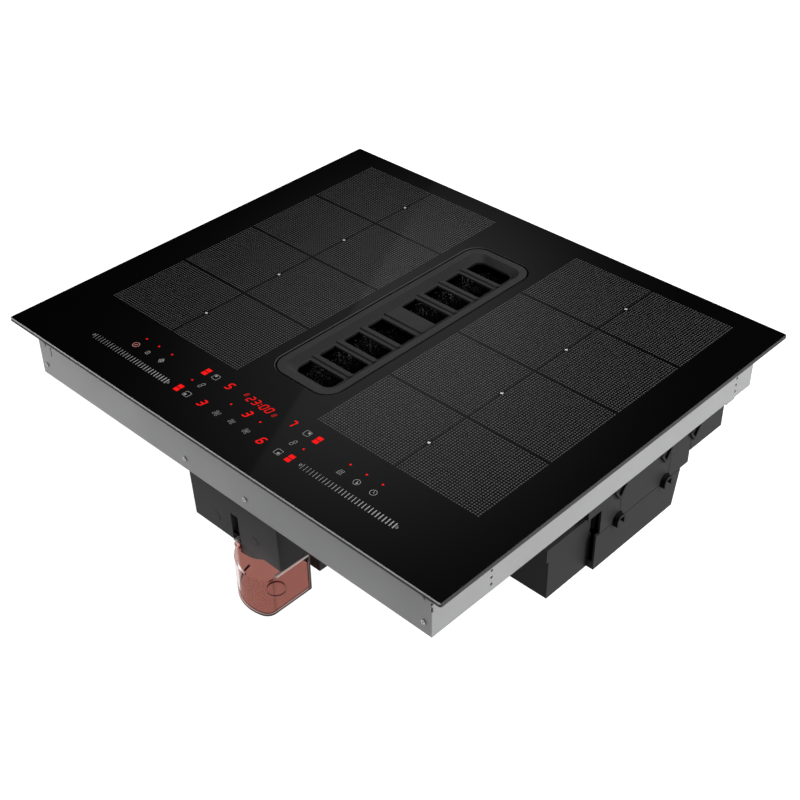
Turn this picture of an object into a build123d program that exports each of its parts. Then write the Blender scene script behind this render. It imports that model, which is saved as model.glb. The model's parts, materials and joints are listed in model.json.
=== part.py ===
from build123d import *
from math import cos, pi, sin, sqrt
import os

# A built-in induction cooktop with a downdraft extractor, all sizes in mm.
# X runs along the front edge, Y to the back, Z up. The origin is the centre of the glass,
# on the plane where the seal under the glass rests on the worktop.

# Glass and its seal
glass_width = 600
glass_depth = 510
glass_left_x = -glass_width / 2
glass_right_x = glass_width / 2
glass_front_y = -glass_depth / 2
glass_back_y = glass_depth / 2
glass_thickness = 4
glass_corner = 2.5
glass_bevel = 0.8
seal_thickness = 2
seal_width = 10
seal_inset = 3

# Steel tray that hangs in the worktop cut-out
glass_side_reach = 23
glass_end_reach = 15
tray_left_x = glass_left_x + glass_side_reach
tray_right_x = glass_right_x - glass_side_reach
tray_front_y = glass_front_y + glass_end_reach
tray_back_y = glass_back_y - glass_end_reach
tray_width = tray_right_x - tray_left_x
tray_depth = tray_back_y - tray_front_y
tray_height = 63.1
sheet = 1.2
tray_bend = 1.6
side_hole_radius = 1.6
side_hole_pitch = 8
side_hole_z = -44
side_hole_front_inset = 75
side_hole_back_inset = 29
side_hole_front_y = tray_front_y + side_hole_front_inset
side_hole_back_y = tray_back_y - side_hole_back_inset
screw_left_inset = 8.4
screw_right_inset = 9.1
screw_middle_xs = (-42.8, 43.7)
screw_xs = (tray_left_x + screw_left_inset, *screw_middle_xs, tray_right_x - screw_right_inset)
screw_z = -47
screw_radius = 1.5
screw_head_radius = 2.4
screw_head_height = 1.2
socket_radius = 0.9
socket_depth = 0.8
screw_length = 8
screw_play = 0.1
bump_inset = 10
bump_x = tray_right_x - bump_inset
bump_z = -20
bump_radius = 2.4
bump_height = 0.9
bump_round = 0.7
notch_inset = 19.5
notch_x = tray_left_x + notch_inset
notch_width = 1.6
notch_z = -25.5
notch_height = 11
corner_notch_zs = ((-23, -20), (-31, -25))
tab_inset = 32
tab_y = tray_back_y - tab_inset
tab_width = 14.6
tab_reach = 5
tab_height = 3.6

# Opening in the glass and the grille that closes it
opening_width = 86
opening_length = 310
opening_y = 24
opening_corner = 21
rim_gap = 2
rim_sink = 0.8
rim_width = 7.8
flange_height = 2.7
flange_ledge = 4.7
floor_depth = 7
floor_thickness = 2.5
dish_corner = 13
slot_width = 49
slot_length = 22.3
slot_pitch = 33.8
slots_each_side = 4
slot_shift = 1.3
slot_corner = 1.5
slot_end_corner = 9
slot_margin = 1.5
pad_length = 28
ridge_radius = 1.8
rest_gap = 0.3
slide_gap = 0.5

# Grease filter cassette
filter_height = 31
filter_top_gap = 1.5
filter_sheet = 1.5
mesh_depth = 9
mesh_thickness = 8
filter_ledge = 5

# Collar and intake funnel
collar_width = 10
collar_thickness = 3
collar_lip_gap = 0.5
funnel_play = 1
funnel_wall = 2.5
funnel_below_tray = 5
passage_play = 1

# Cooking zones: four coils in a column each side
zones_each_side = 4
zone_opening_gap = 14.9
zone_side_gap = 45.2
zone_front_gap = 98.7
zone_back_gap = 25.3
zone_near = opening_width / 2 + zone_opening_gap
zone_far = glass_right_x - zone_side_gap
zone_x = (zone_near + zone_far) / 2
zone_width = zone_far - zone_near
zone_front_y = glass_front_y + zone_front_gap
zone_quarter = (glass_back_y - zone_back_gap - zone_front_y) / zones_each_side
coil_end_gap = 5.45
coil_side_gap = 4.25
coil_length = zone_width - 2 * coil_end_gap
coil_width = zone_quarter - 2 * coil_side_gap
coil_band = 30
coil_thickness = 4.2
mica_thickness = 0.6
mica_gap = 0.2
mica_margin = 3
ferrite_thickness = 3
ferrite_length = 40
ferrite_width = 9
sensor_radius = 3
plate_thickness = 1.5
plate_edge = 5
spring_radius = 5
spring_wire = 1.2
spring_height = 14
post_radius = 4
post_inset = 3

# Boards in the tray
support_thickness = 4
support_hole_play = 1
standoff_height = 6
standoff_radius = 3
board_thickness = 1.6
board_margin = 10
board_back_gap = 75
board_back_y = tray_back_y - board_back_gap
sink_width = 42
sink_back_gap = 39
sink_base = 4
sink_height = 25
fin_count = 7
fin_thickness = 1.6
capacitor_radius = 11
capacitor_height = 24
capacitor_pitch = 30
capacitor_count = 3
choke_size = 34
choke_height = 22

# Cooling fans on the tray's floor
fan_size = 80
fan_height = 25
fan_inset = 136
fan_y = tray_front_y + fan_inset
fan_bore = 37
fan_hub = 14
fan_blades = 7
fan_blade_tilt = 40
fan_tip_gap = 1
fan_strut = 5
fan_floor = 3
fan_pin_radius = 2
pin_play = 0.05
inlet_slot_width = 4
inlet_slot_pitch = 8
inlet_slots = 8
inlet_slot_length = 64

# Touch control under the front edge of the glass
control_left_inset = 85
control_right_inset = 81
control_front_inset = 31
control_depth = 56
control_left_x = glass_left_x + control_left_inset
control_right_x = glass_right_x - control_right_inset
control_front_y = glass_front_y + control_front_inset
control_back_y = control_front_y + control_depth
control_board_drop = 4.4
carrier_thickness = 5
carrier_wall = 2
carrier_leg = 6
display_xs = (-41, 1, 44)
display_width = 24
display_depth = 14
display_inset = 10.8
display_y = control_back_y - display_inset
key_xs = (-163.5, -143.5, -123.3, 126.8, 147, 167.3)
key_inset = 29
key_y = control_back_y - key_inset
key_radius = 5
key_gap = 0.2

# Beams behind the tray's front and back walls, and the rails bonded under the glass
beam_width = 10
beam_height = 14
beam_sheet = 1.5
rail_leg = 12
rail_sheet = 1.5
rail_end_gap = 30

# Mains inlet
terminal_side_inset = 55
terminal_back_inset = 50
gland_inset = 26
terminal_x = tray_left_x + terminal_side_inset
terminal_y = tray_back_y - terminal_back_inset
gland_y = tray_back_y - gland_inset
terminal_width = 40
terminal_depth = 22
terminal_height = 22
gland_bore = 4.5
gland_wall = 3.5
gland_flange = 3
gland_flange_height = 5
harness_radius = 3
plug_width = 14
plug_length = 12
plug_height = 12

# Suction box under the tray, with its drip sump at the front
box_top_half = 66.5
box_front_inset = 16.2
sump_depth = 52.8
box_back_gap = 11
box_front_y = tray_front_y + box_front_inset
box_step_y = box_front_y + sump_depth
box_back_y = opening_y + opening_length / 2 + box_back_gap
box_height = 113.9
sump_height = 79
box_draft = 2
box_corner = 3
box_wall = 2.5
latch_slot_half = 5.25
latch_slot_height = 35
latch_pocket_depth = 11
skirt_start = 1
skirt_reach = 39
skirt_drop = 15
skirt_inset = 5.8
skirt_y = box_front_y + skirt_inset
skirt_wall = 2.2
nozzle_x = 28
nozzle_inset = 23.8
nozzle_y = box_front_y + nozzle_inset
nozzle_radius = 9
nozzle_bore = 6
nozzle_length = 9
boss_radius = 5
boss_height = 18
module_screw_x = 52
module_screw_inset = 10
module_screw_ys = (nozzle_y, 0, box_back_y - module_screw_inset)
module_screw_radius = 2
module_screw_head = 3.6
mark_x = 28
mark_z = -122
mark_radius = 5
mark_height = 0.6

# Drip container
container_left_x = -7
container_right_x = 63.6
container_back_inset = 41.8
container_back_y = box_front_y + container_back_inset
container_arc_x = 39.6
container_arc_inset = 25.2
container_arc_y = box_front_y + container_arc_inset
container_arc = 46.6
container_height = 49.5
container_wall = 2.2
container_corner = 12.5
container_back_corner = 3
container_foot = 1.6
container_rim = 0.8
container_rim_height = 2.4
floor_boss_shift = 11
floor_boss_radius = 9.5
floor_boss_height = 3
tongue_half = 4
tongue_thickness = 2.6
tongue_root = 7
tongue_height = 12

# Blower housing
blower_side_gap = 2.5
blower_width = 189.5
blower_left_x = box_top_half + blower_side_gap
blower_right_x = blower_left_x + blower_width
blower_front_y = 15.6
blower_back_y = 149
blower_back_lean = 8.5
upper_front_y = 21
upper_overhang_y = 0
upper_overhang_z = -100
upper_back_y = 170.6
seam_z = -130
seam_lip = 1.2
shell_wall = 2.5
front_slot_left = 0.5
front_slot_bottom = -165
groove_ys = (52.5, 135)
groove_width = 0.7
seam_groove = 1
groove_depth = 1
clip_ys = (49.8, 129.2)
clip_width = 14
clip_drop = 4
clip_short = 3.2
clip_rise = 8.4
clip_wire = 3.2
clip_proud = 5.5
pocket_play = 1.2
pocket_depth = 1.6
latch_ys = (47.3, 123.1, 173.1)
latch_tip_z = -101.5
latch_width = 9.5
latch_height = 14
latch_stroke = 2.8
latch_proud = 3

# Blower wheel and motor, on an axis along X
axis_y = 86
axis_z = -118
wheel_radius = 40
wheel_depth = 7
wheel_left_gap = 41
wheel_right_gap = 46.5
wheel_left_x = blower_left_x + wheel_left_gap
wheel_right_x = blower_right_x - wheel_right_gap
wheel_disc = 3
wheel_ring = 2.5
wheel_blades = 24
wheel_blade_tilt = 20
blade_thickness = 1.2
inlet_bore = 33
inlet_wall = 2.5
inlet_overlap = 4
scroll_wall = 2
scroll_start = 43
scroll_end = 52
scroll_steps = 6
motor_radius = 30
motor_wall = 2
motor_length = 28
stator_inner = 10
stator_gap = 1.5
stator_length = 20
bracket_thickness = 3
bracket_radius = 34
tube_bore = 8
bearing_width = 6
shaft_radius = 4
shaft_play = 0.05

# Outlet duct at the back
duct_width = 220
duct_back_gap = 11.5
duct_back_y = tray_back_y - duct_back_gap
duct_height = 54
duct_wall = 2
duct_play = 1.5

# Box for the blower's control
control_box_left_gap = 21
control_box_right_gap = 8.5
control_box_left_x = blower_left_x + control_box_left_gap
control_box_right_x = blower_right_x - control_box_right_gap
control_box_front_y = -47.2
control_box_height = 50
control_box_wall = 2.5
lid_height = 16.2
lid_overhang = 4.4
lid_lip = 0.8
fan_board_margin = 6
fan_board_rise = 14

# Levels worked out from the sizes above
glass_bottom = seal_thickness
glass_top = glass_bottom + glass_thickness
tray_top = glass_bottom
tray_bottom = tray_top - tray_height
tray_floor = tray_bottom + sheet
box_bottom = tray_bottom - box_height
sump_bottom = tray_bottom - sump_height
mica_top = glass_bottom - mica_gap
coil_top = mica_top - mica_thickness
coil_bottom = coil_top - coil_thickness
plate_top = coil_bottom - ferrite_thickness
plate_bottom = plate_top - plate_thickness
post_top = plate_bottom - spring_height
support_top = tray_floor + support_thickness
board_bottom = support_top + standoff_height
board_top = board_bottom + board_thickness
floor_top = glass_top - floor_depth
floor_bottom = floor_top - floor_thickness
rim_top = glass_top - rim_sink
flange_bottom = glass_top - flange_height
collar_top = flange_bottom - rest_gap
collar_bottom = glass_bottom - collar_thickness
filter_top = floor_bottom - filter_top_gap
filter_bottom = filter_top - filter_height
ledge_top = filter_bottom - rest_gap
control_board_top = glass_bottom - control_board_drop
control_board_bottom = control_board_top - board_thickness
tray_in_x = tray_width / 2 - sheet
tray_in_y = tray_depth / 2 - sheet

# Plan sizes of the parts that nest in the opening
rim_size = (opening_width - 2 * rim_gap, opening_length - 2 * rim_gap)
rim_corner = opening_corner - rim_gap
body_size = (rim_size[0] - 2 * flange_ledge, rim_size[1] - 2 * flange_ledge)
body_corner = rim_corner - flange_ledge
bore_size = (body_size[0] + 2 * slide_gap, body_size[1] + 2 * slide_gap)
filter_size = (body_size[0] - 2 * slide_gap, body_size[1] - 2 * slide_gap)
funnel_size = (bore_size[0] + 2 * funnel_play, bore_size[1] + 2 * funnel_play)
funnel_outer = (funnel_size[0] + 2 * funnel_wall, funnel_size[1] + 2 * funnel_wall)


def block(x0, x1, y0, y1, z0, z1):
    """A box between two corners."""
    centre = Pos((x0 + x1) / 2, (y0 + y1) / 2, (z0 + z1) / 2)
    return centre * Box(abs(x1 - x0), abs(y1 - y0), abs(z1 - z0))


def plate(size, corner, z0, z1, centre_y=0):
    """A flat plate with rounded corners, centred on X."""
    outline = Pos(0, centre_y, z0) * RectangleRounded(size[0], size[1], corner)
    return extrude(outline, amount=z1 - z0)


def post(x, y, z0, z1, radius):
    """A round post along Z."""
    return Pos(x, y, (z0 + z1) / 2) * Cylinder(radius, z1 - z0)


def rod_x(x0, x1, y, z, radius):
    """A round rod along X."""
    return Pos((x0 + x1) / 2, y, z) * Rot(0, 90, 0) * Cylinder(radius, x1 - x0)


def rod_y(x, y0, y1, z, radius):
    """A round rod along Y."""
    return Pos(x, (y0 + y1) / 2, z) * Rot(90, 0, 0) * Cylinder(radius, y1 - y0)


def side_block(side, near, far, y0, y1, z0, z1):
    """A box from |x| = near to |x| = far, on the left (-1) or the right (1)."""
    return block(side * near, side * far, y0, y1, z0, z1)


def group(solids):
    """Separate solids that share one node."""
    return Compound(children=[s.solid() for s in solids])


# glass and seal


def make_glass():
    glass = plate((glass_width, glass_depth), glass_corner, glass_bottom, glass_top)
    glass -= plate((opening_width, opening_length), opening_corner, glass_bottom, glass_top, opening_y)
    top_edges = glass.faces().sort_by(Axis.Z)[-1].edges()
    return chamfer(top_edges, glass_bevel)


def make_seal():
    outer = (glass_width - 2 * seal_inset, glass_depth - 2 * seal_inset)
    inner = (outer[0] - 2 * seal_width, outer[1] - 2 * seal_width)
    seal = plate(outer, glass_corner, 0, seal_thickness)
    return seal - plate(inner, glass_corner, 0, seal_thickness)


def make_glass_rails():
    """Four angle profiles bonded under the glass, just inside the tray's walls."""
    rails = []
    half_x = tray_in_x - rail_end_gap
    half_y = tray_in_y - rail_end_gap
    for side in (-1, 1):
        lip_y = side * (tray_in_y - rail_leg)
        web_y = side * (tray_in_y - rail_sheet)
        wall_y = side * tray_in_y
        rail = block(-half_x, half_x, lip_y, wall_y, glass_bottom - rail_sheet, glass_bottom)
        rail += block(-half_x, half_x, web_y, wall_y, glass_bottom - rail_leg, glass_bottom)
        rails.append(rail)
        lip_x = tray_in_x - rail_leg
        low = glass_bottom - rail_sheet
        rail = side_block(side, lip_x, tray_in_x, -half_y, half_y, low, glass_bottom)
        web_x = tray_in_x - rail_sheet
        rail += side_block(side, web_x, tray_in_x, -half_y, half_y, glass_bottom - rail_leg, glass_bottom)
        rails.append(rail)
    return group(rails)


# tray


def inlet_slot_offsets():
    """Places across a fan for the air slots in the tray's floor."""
    first = -(inlet_slots - 1) / 2
    return [(first + i) * inlet_slot_pitch for i in range(inlet_slots)]


def make_tray():
    half_x = tray_width / 2
    half_y = tray_depth / 2
    outer = block(-half_x, half_x, -half_y, half_y, tray_bottom, tray_top)
    outer = fillet(outer.faces().sort_by(Axis.Z)[0].edges(), tray_bend)
    inner = block(-tray_in_x, tray_in_x, -tray_in_y, tray_in_y, tray_floor, tray_top)
    inner = fillet(inner.faces().sort_by(Axis.Z)[0].edges(), tray_bend - sheet)
    tray = outer - inner
    hole = (funnel_outer[0] + 2 * passage_play, funnel_outer[1] + 2 * passage_play)
    tray -= plate(hole, body_corner + funnel_wall, tray_bottom, tray_floor, opening_y)
    for y in (side_hole_front_y, side_hole_back_y):
        for step in (-1, 0, 1):
            tray -= rod_x(-half_x, half_x, y, side_hole_z + step * side_hole_pitch, side_hole_radius)
    for x in screw_xs:
        tray -= rod_y(x, -half_y, half_y, screw_z, screw_radius + screw_play)
    for side in (-1, 1):
        bump = rod_y(side * bump_x, -half_y - bump_height, -tray_in_y, bump_z, bump_radius)
        tray += fillet(bump.faces().sort_by(Axis.Y)[0].edges(), bump_round)
        for x in module_screws_on(side):
            tray -= post(x[0], x[1], tray_bottom, tray_floor, module_screw_radius + screw_play)
        for offset in inlet_slot_offsets():
            slot = SlotOverall(inlet_slot_length, inlet_slot_width, rotation=90)
            slot = Pos(side * zone_x + offset, fan_y, tray_bottom) * slot
            tray -= extrude(slot, amount=sheet)
    tray -= post(terminal_x, gland_y, tray_bottom, tray_floor, gland_bore + gland_wall)
    tray -= block(notch_x, notch_x + notch_width, -half_y, -tray_in_y,
                  notch_z - notch_height / 2, notch_z + notch_height / 2)
    for low, high in corner_notch_zs:
        tray -= block(half_x - notch_width, half_x, -half_y, -half_y + notch_width, low, high)
    tab_x = half_x - tray_bend
    half_tab = tab_width / 2
    tab_low = tray_bottom - tab_height
    return tray + block(tab_x - tab_reach, tab_x, tab_y - half_tab, tab_y + half_tab, tab_low, tray_bottom)


def module_screws_on(side):
    """Places of the screws that hold the suction box, on one side."""
    return [(side * module_screw_x, y) for y in module_screw_ys]


def make_case_screws():
    """Screws through the tray's front and back walls into the beams."""
    screws = []
    for side in (-1, 1):
        wall = side * tray_depth / 2
        head = wall + side * screw_head_height
        ends = sorted((wall, head))
        shank = sorted((wall, wall - side * screw_length))
        for x in screw_xs:
            screw = rod_y(x, ends[0], ends[1], screw_z, screw_head_radius)
            screw -= rod_y(x, *sorted((head, head - side * socket_depth)), screw_z, socket_radius)
            screw += rod_y(x, shank[0], shank[1], screw_z, screw_radius)
            screws.append(screw)
    return group(screws)


def make_beams():
    """Angle beams behind the tray's front and back walls."""
    beams = []
    for side in (-1, 1):
        wall_y = side * tray_in_y
        low = screw_z - beam_height / 2
        high = screw_z + beam_height / 2
        beam = block(-tray_in_x, tray_in_x, wall_y - side * beam_sheet, wall_y, low, high)
        beam += block(-tray_in_x, tray_in_x, wall_y - side * beam_width, wall_y, high - beam_sheet, high)
        for x in screw_xs:
            ends = sorted((wall_y - side * beam_sheet, wall_y))
            beam -= rod_y(x, ends[0], ends[1], screw_z, screw_radius + screw_play)
        beams.append(beam)
    return group(beams)


def make_module_screws():
    """Screws from the tray's floor down into the suction box."""
    screws = []
    for side in (-1, 1):
        for x, y in module_screws_on(side):
            screw = post(x, y, tray_floor, tray_floor + 2 * screw_head_height, module_screw_head)
            screw += post(x, y, tray_bottom - boss_height + sheet, tray_floor, module_screw_radius)
            screws.append(screw)
    return group(screws)


# intake


def slot_centres():
    """Centres along Y of the grille's slots, mirrored about the pad."""
    steps = [pad_length / 2 + i * slot_pitch + slot_length / 2 for i in range(slots_each_side)]
    return [opening_y + slot_shift + side * s for s in steps for side in (-1, 1)]


def ridge_centres():
    """Centres along Y of the bars' ridges, and of the one on the pad."""
    first = pad_length / 2 + (slot_pitch + slot_length) / 2
    steps = [first + i * slot_pitch for i in range(slots_each_side - 1)]
    middle = opening_y + slot_shift
    return [middle + side * s for s in steps for side in (-1, 1)] + [middle - pad_length / 4]


def make_grille():
    grille = plate(rim_size, rim_corner, flange_bottom, rim_top, opening_y)
    grille += plate(body_size, body_corner, floor_bottom, flange_bottom, opening_y)
    dish_top = (rim_size[0] - 2 * rim_width, rim_size[1] - 2 * rim_width)
    slots_length = 2 * ((slots_each_side - 1) * slot_pitch + slot_length) + pad_length
    dish_floor = (slot_width + 2 * slot_margin, slots_length + 2 * slot_margin)
    top_outline = Pos(0, opening_y, rim_top) * RectangleRounded(*dish_top, dish_corner)
    floor_corner = slot_end_corner + slot_margin
    floor_outline = Pos(0, opening_y, floor_top) * RectangleRounded(*dish_floor, floor_corner)
    grille -= loft([floor_outline, top_outline])
    slots = Sketch()
    for y in slot_centres():
        slots += Pos(0, y) * RectangleRounded(slot_width, slot_length, slot_corner)
    slots &= Pos(0, opening_y + slot_shift) * RectangleRounded(slot_width, slots_length, slot_end_corner)
    grille -= extrude(Pos(0, 0, floor_bottom) * slots, amount=floor_thickness)
    for y in ridge_centres():
        ridge = rod_x(-slot_width / 2 - slot_margin, slot_width / 2 + slot_margin, y, floor_top, ridge_radius)
        grille += ridge & plate(body_size, body_corner, floor_bottom, rim_top, opening_y)
    return grille


def make_collar():
    """A ring bonded under the glass that carries the grille's flange."""
    outer = (opening_width + 2 * collar_width, opening_length + 2 * collar_width)
    lip = (opening_width - 2 * collar_lip_gap, opening_length - 2 * collar_lip_gap)
    collar = plate(outer, opening_corner + collar_width, collar_bottom, glass_bottom, opening_y)
    collar += plate(lip, opening_corner - collar_lip_gap, glass_bottom, collar_top, opening_y)
    return collar - plate(bore_size, body_corner + slide_gap, collar_bottom, collar_top, opening_y)


def make_filter_frame():
    frame = plate(filter_size, body_corner, filter_bottom, filter_top, opening_y)
    inner = (filter_size[0] - 2 * filter_sheet, filter_size[1] - 2 * filter_sheet)
    frame -= plate(inner, body_corner - filter_sheet, filter_bottom, filter_top, opening_y)
    half = inner[0] / 2
    for side in (-1, 1):
        y = opening_y + side * (inner[1] / 4)
        stay_top = filter_bottom + filter_ledge
        frame += block(-half, half, y - filter_sheet, y + filter_sheet, filter_bottom, stay_top)
    return frame


def make_filter_mesh():
    size = (filter_size[0] - 2 * filter_sheet, filter_size[1] - 2 * filter_sheet)
    top = filter_top - mesh_depth
    return plate(size, body_corner - filter_sheet, top - mesh_thickness, top, opening_y)


def make_funnel():
    """A duct from the collar down through the tray's floor, with a ledge for the filter."""
    bottom = tray_bottom - funnel_below_tray
    funnel = plate(funnel_outer, body_corner + funnel_wall, bottom, collar_bottom, opening_y)
    funnel -= plate(funnel_size, body_corner, ledge_top, collar_bottom, opening_y)
    throat = (filter_size[0] - 2 * filter_ledge, filter_size[1] - 2 * filter_ledge)
    funnel -= plate(throat, body_corner - filter_sheet, ledge_top - filter_sheet, ledge_top, opening_y)
    funnel -= plate(funnel_size, body_corner, bottom, ledge_top - filter_sheet, opening_y)
    return funnel


# coils


def zone_centres():
    """Centres along Y of the four zones in a column."""
    return [zone_front_y + (i + 0.5) * zone_quarter for i in range(zones_each_side)]


def plate_reach():
    """How far a carrier plate runs: |x| from and to, y from and to."""
    near = zone_near + mica_margin
    far = zone_far + mica_margin
    back = zone_front_y + zones_each_side * zone_quarter
    return near, far, zone_front_y, back


def make_coil(x, y):
    ring = SlotOverall(coil_length, coil_width)
    ring -= SlotOverall(coil_length - 2 * coil_band, coil_width - 2 * coil_band)
    return extrude(Pos(x, y, coil_bottom) * ring, amount=coil_thickness)


def make_ferrites():
    """Two ferrite bars under each long side of every coil."""
    bars = []
    for side in (-1, 1):
        for y in zone_centres():
            for dx in (-1, 1):
                for dy in (-1, 1):
                    x = side * zone_x + dx * (ferrite_length / 2 + ferrite_width / 2)
                    centre = y + dy * (coil_width - coil_band) / 2
                    bars.append(block(x - ferrite_length / 2, x + ferrite_length / 2,
                                      centre - ferrite_width / 2, centre + ferrite_width / 2,
                                      plate_top, coil_bottom))
    return group(bars)


def make_sensors():
    sensors = [post(side * zone_x, y, plate_top, coil_top, sensor_radius)
               for side in (-1, 1) for y in zone_centres()]
    return group(sensors)


def make_mica():
    sheets = []
    for side in (-1, 1):
        for y in zone_centres():
            half = zone_quarter / 2 - mica_margin
            near = zone_near + mica_margin
            far = zone_far - mica_margin
            sheets.append(side_block(side, near, far, y - half, y + half, coil_top, mica_top))
    return group(sheets)


def make_coil_plate(side):
    near, far, front, back = plate_reach()
    carrier = side_block(side, near, far, front, back, plate_bottom, plate_top)
    for y0, y1 in ((front, front + plate_thickness), (back - plate_thickness, back)):
        carrier += side_block(side, near, far, y0, y1, plate_bottom - plate_edge, plate_bottom)
    return carrier


def post_places(side):
    """Where springs on posts carry a coil plate."""
    near, far, front, back = plate_reach()
    inset = post_inset + spring_radius
    ys = (front + inset, (front + back) / 2, back - inset)
    return [(side * x, y) for x in (near + inset, far - inset) for y in ys]


def make_springs():
    springs = []
    for side in (-1, 1):
        for x, y in post_places(side):
            spring = post(x, y, post_top, plate_bottom, spring_radius)
            springs.append(spring - post(x, y, post_top, plate_bottom, spring_radius - spring_wire))
    return group(springs)


# boards


def board_reach():
    """Outline of a power board: |x| from and to, y from and to."""
    near, far, _, _ = plate_reach()
    inset = board_margin + spring_radius
    return near + inset, far - inset, fan_y + fan_size / 2 + board_margin, board_back_y


def make_board_support(side):
    near, far, front, back = plate_reach()
    support = side_block(side, near, far, front, back, tray_floor, support_top)
    half = fan_size / 2 + support_hole_play
    support -= side_block(side, zone_x - half, zone_x + half, fan_y - half, fan_y + half,
                          tray_floor, support_top)
    b_near, b_far, b_front, b_back = board_reach()
    for x in (b_near + board_margin, b_far - board_margin):
        for y in (b_front + board_margin, b_back - board_margin):
            support += post(side * x, y, support_top, board_bottom, standoff_radius)
    for x, y in post_places(side):
        support += post(x, y, support_top, post_top, post_radius)
    if side * terminal_x > 0:
        support -= post(terminal_x, gland_y, tray_floor, support_top, gland_bore + gland_wall)
    return support


def make_power_board(side):
    near, far, front, back = board_reach()
    return side_block(side, near, far, front, back, board_bottom, board_top)


def sink_reach():
    """A heat sink stands along the inner edge of its board."""
    near, _, front, _ = board_reach()
    return near + board_margin, near + board_margin + sink_width, front + board_margin


def make_heat_sink(side):
    near, far, front = sink_reach()
    back = board_back_y - sink_back_gap
    sink = side_block(side, near, far, front, back, board_top, board_top + sink_base)
    step = (sink_width - fin_thickness) / (fin_count - 1)
    for i in range(fin_count):
        x = near + i * step
        sink += side_block(side, x, x + fin_thickness, front, back, board_top, board_top + sink_height)
    return sink


def make_power_parts():
    """Capacitors and a choke on each board."""
    parts = []
    for side in (-1, 1):
        _, far, front = sink_reach()
        x = side * (far + board_margin + capacitor_radius)
        for i in range(capacitor_count):
            y = front + capacitor_radius + i * capacitor_pitch
            parts.append(post(x, y, board_top, board_top + capacitor_height, capacitor_radius))
        y = front + capacitor_radius + capacitor_count * capacitor_pitch
        outer = far + board_margin + choke_size
        parts.append(side_block(side, far + board_margin, outer, y, y + choke_size,
                                board_top, board_top + choke_height))
    return group(parts)


def make_fan_frame(side):
    x = side * zone_x
    half = fan_size / 2
    frame = block(x - half, x + half, fan_y - half, fan_y + half, tray_floor, tray_floor + fan_height)
    frame -= post(x, fan_y, tray_floor, tray_floor + fan_height, fan_bore)
    for y in (-1, 1):
        strut_y = fan_y + y * fan_hub / 2
        strut = block(x - half, x + half, strut_y - fan_strut / 2, strut_y + fan_strut / 2,
                      tray_floor, tray_floor + fan_floor)
        frame += strut
    hub_top = tray_floor + fan_floor + fan_strut
    frame += post(x, fan_y, tray_floor, hub_top, fan_hub - fan_strut)
    return frame - post(x, fan_y, tray_floor + sheet, hub_top, fan_pin_radius + pin_play)


def make_fan_rotor(side):
    """A cup on a pin, with blades set round it."""
    x = side * zone_x
    bottom = tray_floor + fan_floor + fan_tip_gap
    top = tray_floor + fan_height - fan_tip_gap
    cup = post(0, 0, bottom, top, fan_hub)
    cup -= post(0, 0, bottom, top - fan_floor, fan_hub - fan_strut + fan_tip_gap)
    cup += post(0, 0, tray_floor + sheet + fan_tip_gap, top, fan_pin_radius)
    reach = fan_bore - fan_tip_gap
    for i in range(fan_blades):
        blade = block(fan_hub - fan_tip_gap, reach, -fan_tip_gap / 2, fan_tip_gap / 2,
                      bottom + fan_strut, top - fan_tip_gap)
        middle = (bottom + fan_strut + top - fan_tip_gap) / 2
        blade = Pos(0, 0, middle) * Rot(X=side * fan_blade_tilt) * Pos(0, 0, -middle) * blade
        cup += Rot(Z=360 / fan_blades * i) * blade
    return Pos(x, fan_y, 0) * cup


# touch control and mains


def make_control_board():
    return block(control_left_x, control_right_x, control_front_y, control_back_y,
                 control_board_bottom, control_board_top)


def make_control_carrier():
    """A moulded tray under the control board, on legs that stand on the front beam."""
    low = control_board_bottom - carrier_thickness
    high = control_board_bottom
    carrier = block(control_left_x, control_right_x, control_front_y, control_back_y, low, high)
    inner_x = (control_left_x + carrier_wall, control_right_x - carrier_wall)
    inner_y = (control_front_y + carrier_wall, control_back_y - carrier_wall)
    carrier -= block(*inner_x, *inner_y, low + carrier_wall, high)
    beam_top = screw_z + beam_height / 2
    beam_back = -tray_in_y + beam_width
    leg_front = beam_back - carrier_leg
    leg_back = control_front_y + carrier_wall
    for x in (control_left_x, 0, control_right_x - carrier_leg):
        carrier += block(x, x + carrier_leg, leg_front, leg_back, beam_top, low + carrier_wall)
    return carrier


def make_displays():
    """Digit displays that stand under the glass."""
    half_x = display_width / 2
    half_y = display_depth / 2
    blocks = [block(x - half_x, x + half_x, display_y - half_y, display_y + half_y,
                    control_board_top, glass_bottom - key_gap) for x in display_xs]
    return group(blocks)


def make_touch_springs():
    return group([post(x, key_y, control_board_top, glass_bottom - key_gap, key_radius) for x in key_xs])


def make_terminal_block():
    half_x = terminal_width / 2
    half_y = terminal_depth / 2
    return block(terminal_x - half_x, terminal_x + half_x, terminal_y - half_y, terminal_y + half_y,
                 support_top, support_top + terminal_height)


def make_gland():
    """A cable gland in the tray's floor; the supply cord comes up through it."""
    outer = gland_bore + gland_wall
    low = tray_bottom - gland_flange_height
    gland = post(terminal_x, gland_y, low, tray_bottom, outer + gland_flange)
    gland += post(terminal_x, gland_y, tray_bottom, support_top, outer)
    return gland - post(terminal_x, gland_y, low, support_top, gland_bore)


def make_harness():
    """The lead from the terminal block to a plug on the left power board."""
    z = board_top + plug_height / 2
    back = terminal_y - terminal_depth / 2
    _, _, _, board_end = board_reach()
    half = plug_width / 2
    plug = block(terminal_x - half, terminal_x + half, board_end - board_margin - plug_length,
                 board_end - board_margin, board_top, board_top + plug_height)
    return plug + rod_y(terminal_x, board_end - board_margin, back, z, harness_radius)


# suction box and drip container


def box_outline(front, back, inset):
    """Plan of the suction box at its top, inset by a wall."""
    centre = (front + back) / 2
    size = (2 * (box_top_half - inset), back - front - 2 * inset)
    return Pos(0, centre, tray_bottom) * RectangleRounded(*size, box_corner)


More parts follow.
